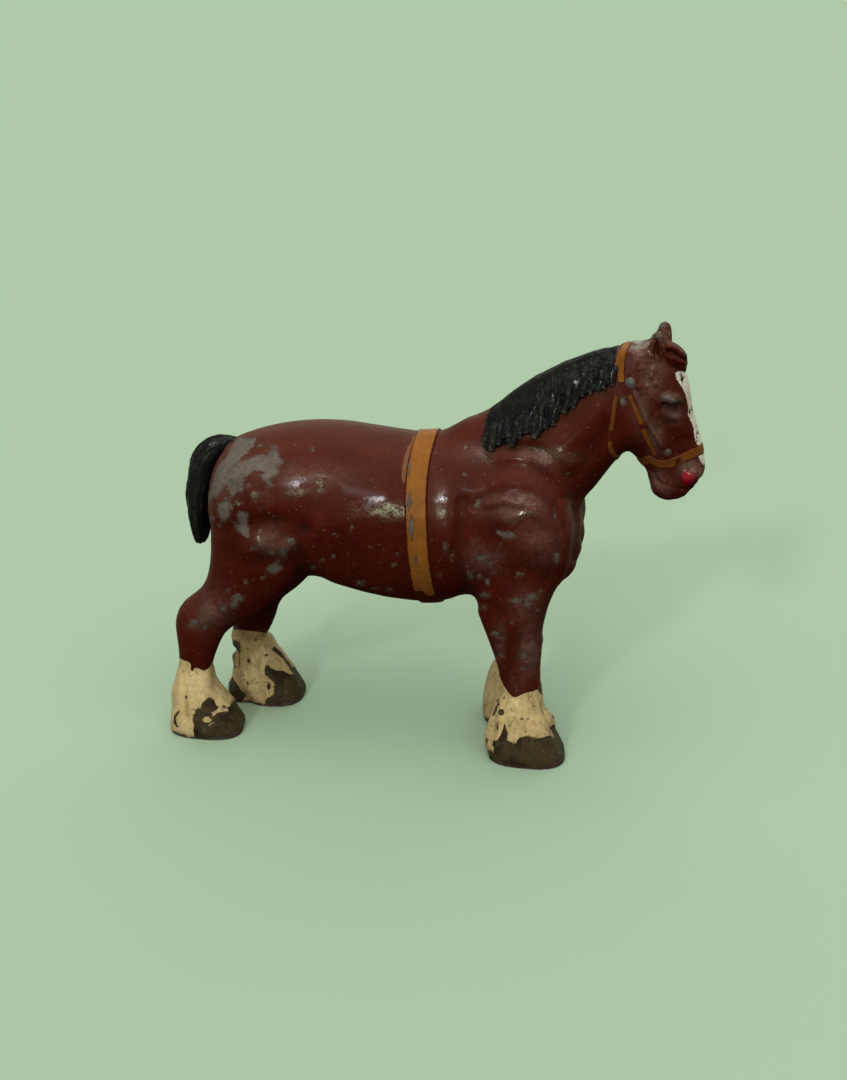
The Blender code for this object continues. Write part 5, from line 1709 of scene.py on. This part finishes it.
right, left = on_both_sides(THROAT_SPOTS)
under = across_from(right[-1], direction=(0.45, -1), count=9)
throat = strap_on_skin("throat_strap", right + under + left[::-1], THROAT_WIDTH, BRIDLE_THICKNESS,
                       bridle_paint)

right, left = on_both_sides(NOSE_SPOTS)
over = across_from(right[-1], direction=(1, 0.3), count=7)
under = across_from(right[0], direction=(-0.75, -0.65), count=8)
nose = strap_on_skin("nose_strap", right + over + left[::-1] + under[::-1], NOSE_WIDTH, BRIDLE_THICKNESS,
                     bridle_paint, closed=True)

right, left = on_both_sides(CHEEK_SPOTS)
cheek_right = strap_on_skin("cheek_strap_on_right", right, CHEEK_WIDTH, BRIDLE_THICKNESS, bridle_paint)
cheek_left = strap_on_skin("cheek_strap_on_left", left, CHEEK_WIDTH, BRIDLE_THICKNESS, bridle_paint)

for strap, half_width, gaps, stands_for in (
        (headpiece, 0.58, [], "headpiece"), (throat, 0.36, [THROAT_GAP], "throat_lash"),
        (nose, 0.74, [NOSE_GAP], "noseband"), (cheek_right, 0.40, [CHEEK_GAP], "cheek_strap_right"),
        (cheek_left, 0.40, [CHEEK_GAP], "cheek_strap_left")):
    paint_strap(strap, half_width, gaps)
    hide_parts(stands_for)
    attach(strap, "root")


# The studs of the bridle: small domes with a rim, below each ear and at each end of the bit. Most of
# their paint is rubbed off, so they are the grey of the lead, with old brown in the rest.
STUDS = [  # a name, a spot, a radius, a height, and how much of it is still painted
    ("rosette", (630.2, 382.4), 0.84 * MM, 0.44 * MM, 0.3),
    ("bit_ring", (667.6, 452.4), 0.66 * MM, 0.34 * MM, 0.9),
]
OLD_BROWN = (0.075, 0.026, 0.016)


def make_stud_tree():
    """Sets a dome within a raised rim on each point, square to the skin there."""
    tree, given, made = new_group("GeometryNodeTree", "domed stud", {
        "Geometry": "Geometry", "Radius": 0.9 * MM, "Height": 0.4 * MM, "Material": "Material",
    }, {"Geometry": "Geometry"})
    dome = first(tree, "GeometryNodeMeshUVSphere", {"Segments": 28, "Rings": 14, "Radius": 0.80})
    inputs = {"Curve": circle(tree, 36, 0.84), "Profile Curve": circle(tree, 10, 0.17)}
    rim = first(tree, "GeometryNodeCurveToMesh", inputs)
    both = node(tree, "GeometryNodeJoinGeometry")
    tree.links.new(dome, both.inputs[0])
    tree.links.new(rim, both.inputs[0])
    inputs = {"Vector": stored(tree, "out", "FLOAT_VECTOR")}
    turn = first(tree, "FunctionNodeAlignRotationToVector", inputs, axis="Z")
    inputs = {"X": given["Radius"], "Y": given["Radius"], "Z": given["Height"]}
    size = first(tree, "ShaderNodeCombineXYZ", inputs)
    inputs = {"Points": given["Geometry"], "Instance": both.outputs[0], "Rotation": turn, "Scale": size}
    return end_tree(tree, first(tree, "GeometryNodeInstanceOnPoints", inputs), given, made)


def make_stud_paint(name, painted):
    """Rubbed lead with old brown paint on that share of it."""
    made = Finish(name)
    made.shader.inputs["Metallic"].default_value = 0.03
    made.base(made.lead(Dark=(0.075, 0.070, 0.065), Pale=(0.17, 0.155, 0.145)))
    level = 8.0 * (painted * 0.4 - 0.7)
    old = spotted(made.tree, 900.0, 8.0, level, detail=3.0, roughness=0.6)
    made.tint(OLD_BROWN, old, 0.8)
    return made.finish()


stud_tree = make_stud_tree()
for word, spot, radius, height, painted in STUDS:
    stud_paint = make_stud_paint(f"rubbed {word}", painted)
    for side_word, mirror in (("right", 1), ("left", -1)):
        place = sighted(spot)
        place, out, _, _ = skin_search.find_nearest(Vector((place.x, mirror * place.y, place.z)))
        mesh = bpy.data.meshes.new(f"{word}_{side_word}_stud")
        mesh.from_pydata([tuple(place)], [], [])
        mesh.attributes.new("out", "FLOAT_VECTOR", "POINT").data.foreach_set("vector", tuple(out))
        stud = grown(linked(f"{word}_{side_word}_stud", mesh), stud_tree, Radius=radius, Height=height,
                     Material=stud_paint)
        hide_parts(f"{word}_{side_word}")
        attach(stud, "root")


# The table that it stands on, the window behind the viewer and the pale room all round.
BACKGROUND = (0.386, 0.533, 0.376)
FLOOR_LIGHT = 0.97
FLOOR_BOUNCE = (0.08, 0.08, 0.08)
FLOOR_HALF = 6.0
ROOM_LIGHT = (0.150, 0.147, 0.142)


def looked_at(tree):
    """1 where a ray from the camera, or one mirrored or let through, looks at the room itself."""
    ray = node(tree, "ShaderNodeLightPath").outputs
    seen = maths(tree, "ADD", ray["Is Camera Ray"], ray["Is Glossy Ray"], clamp=True)
    return maths(tree, "ADD", seen, ray["Is Transmission Ray"], clamp=True)


def add_sun(name, turn, rise, spread_angle, strength, colour):
    """Light from that direction. It is turned from straight beside the horse towards its head."""
    lamp = bpy.data.lights.new(name, "SUN")
    lamp.energy = strength
    lamp.angle = math.radians(spread_angle)
    lamp.color = colour
    made = bpy.data.objects.new(name, lamp)
    turn, rise = math.radians(turn), math.radians(rise)
    away = Vector((math.sin(turn) * math.cos(rise), -math.cos(turn) * math.cos(rise), math.sin(rise)))
    made.rotation_euler = away.to_track_quat("Z", "Y").to_euler()
    bpy.context.scene.collection.objects.link(made)


form = bmesh.new()
bmesh.ops.create_grid(form, x_segments=1, y_segments=1, size=FLOOR_HALF)
floor = from_form("floor", form)
paint = bpy.data.materials.new("floor")
paint.use_nodes = True
tree, shader = paint.node_tree, paint.node_tree.nodes["Principled BSDF"]
pale = tuple(level / FLOOR_LIGHT for level in BACKGROUND)
tree.links.new(mixed(tree, looked_at(tree), FLOOR_BOUNCE, pale), shader.inputs["Base Color"])
shader.inputs["Roughness"].default_value = 1.0
shader.inputs["Specular IOR Level"].default_value = 0.0
floor.data.materials.append(paint)

add_sun("room", 10, 72, 80, 2.1, (1.0, 0.97, 0.93))
add_sun("far side of the room", 180, 40, 70, 0.9, (1.0, 0.98, 0.95))
add_sun("window", -16, 31, 6, 0.60, (0.95, 0.96, 1.0))
add_sun("garden", -8, 18, 10, 0.26, (0.85, 1.0, 0.62))
world = bpy.data.worlds.new("studio")
world.use_nodes = True
tree = world.node_tree
air = mixed(tree, looked_at(tree), ROOM_LIGHT, BACKGROUND)
tree.links.new(air, tree.nodes["Background"].inputs["Color"])
bpy.context.scene.world = world
bpy.context.scene.view_settings.view_transform = "Standard"
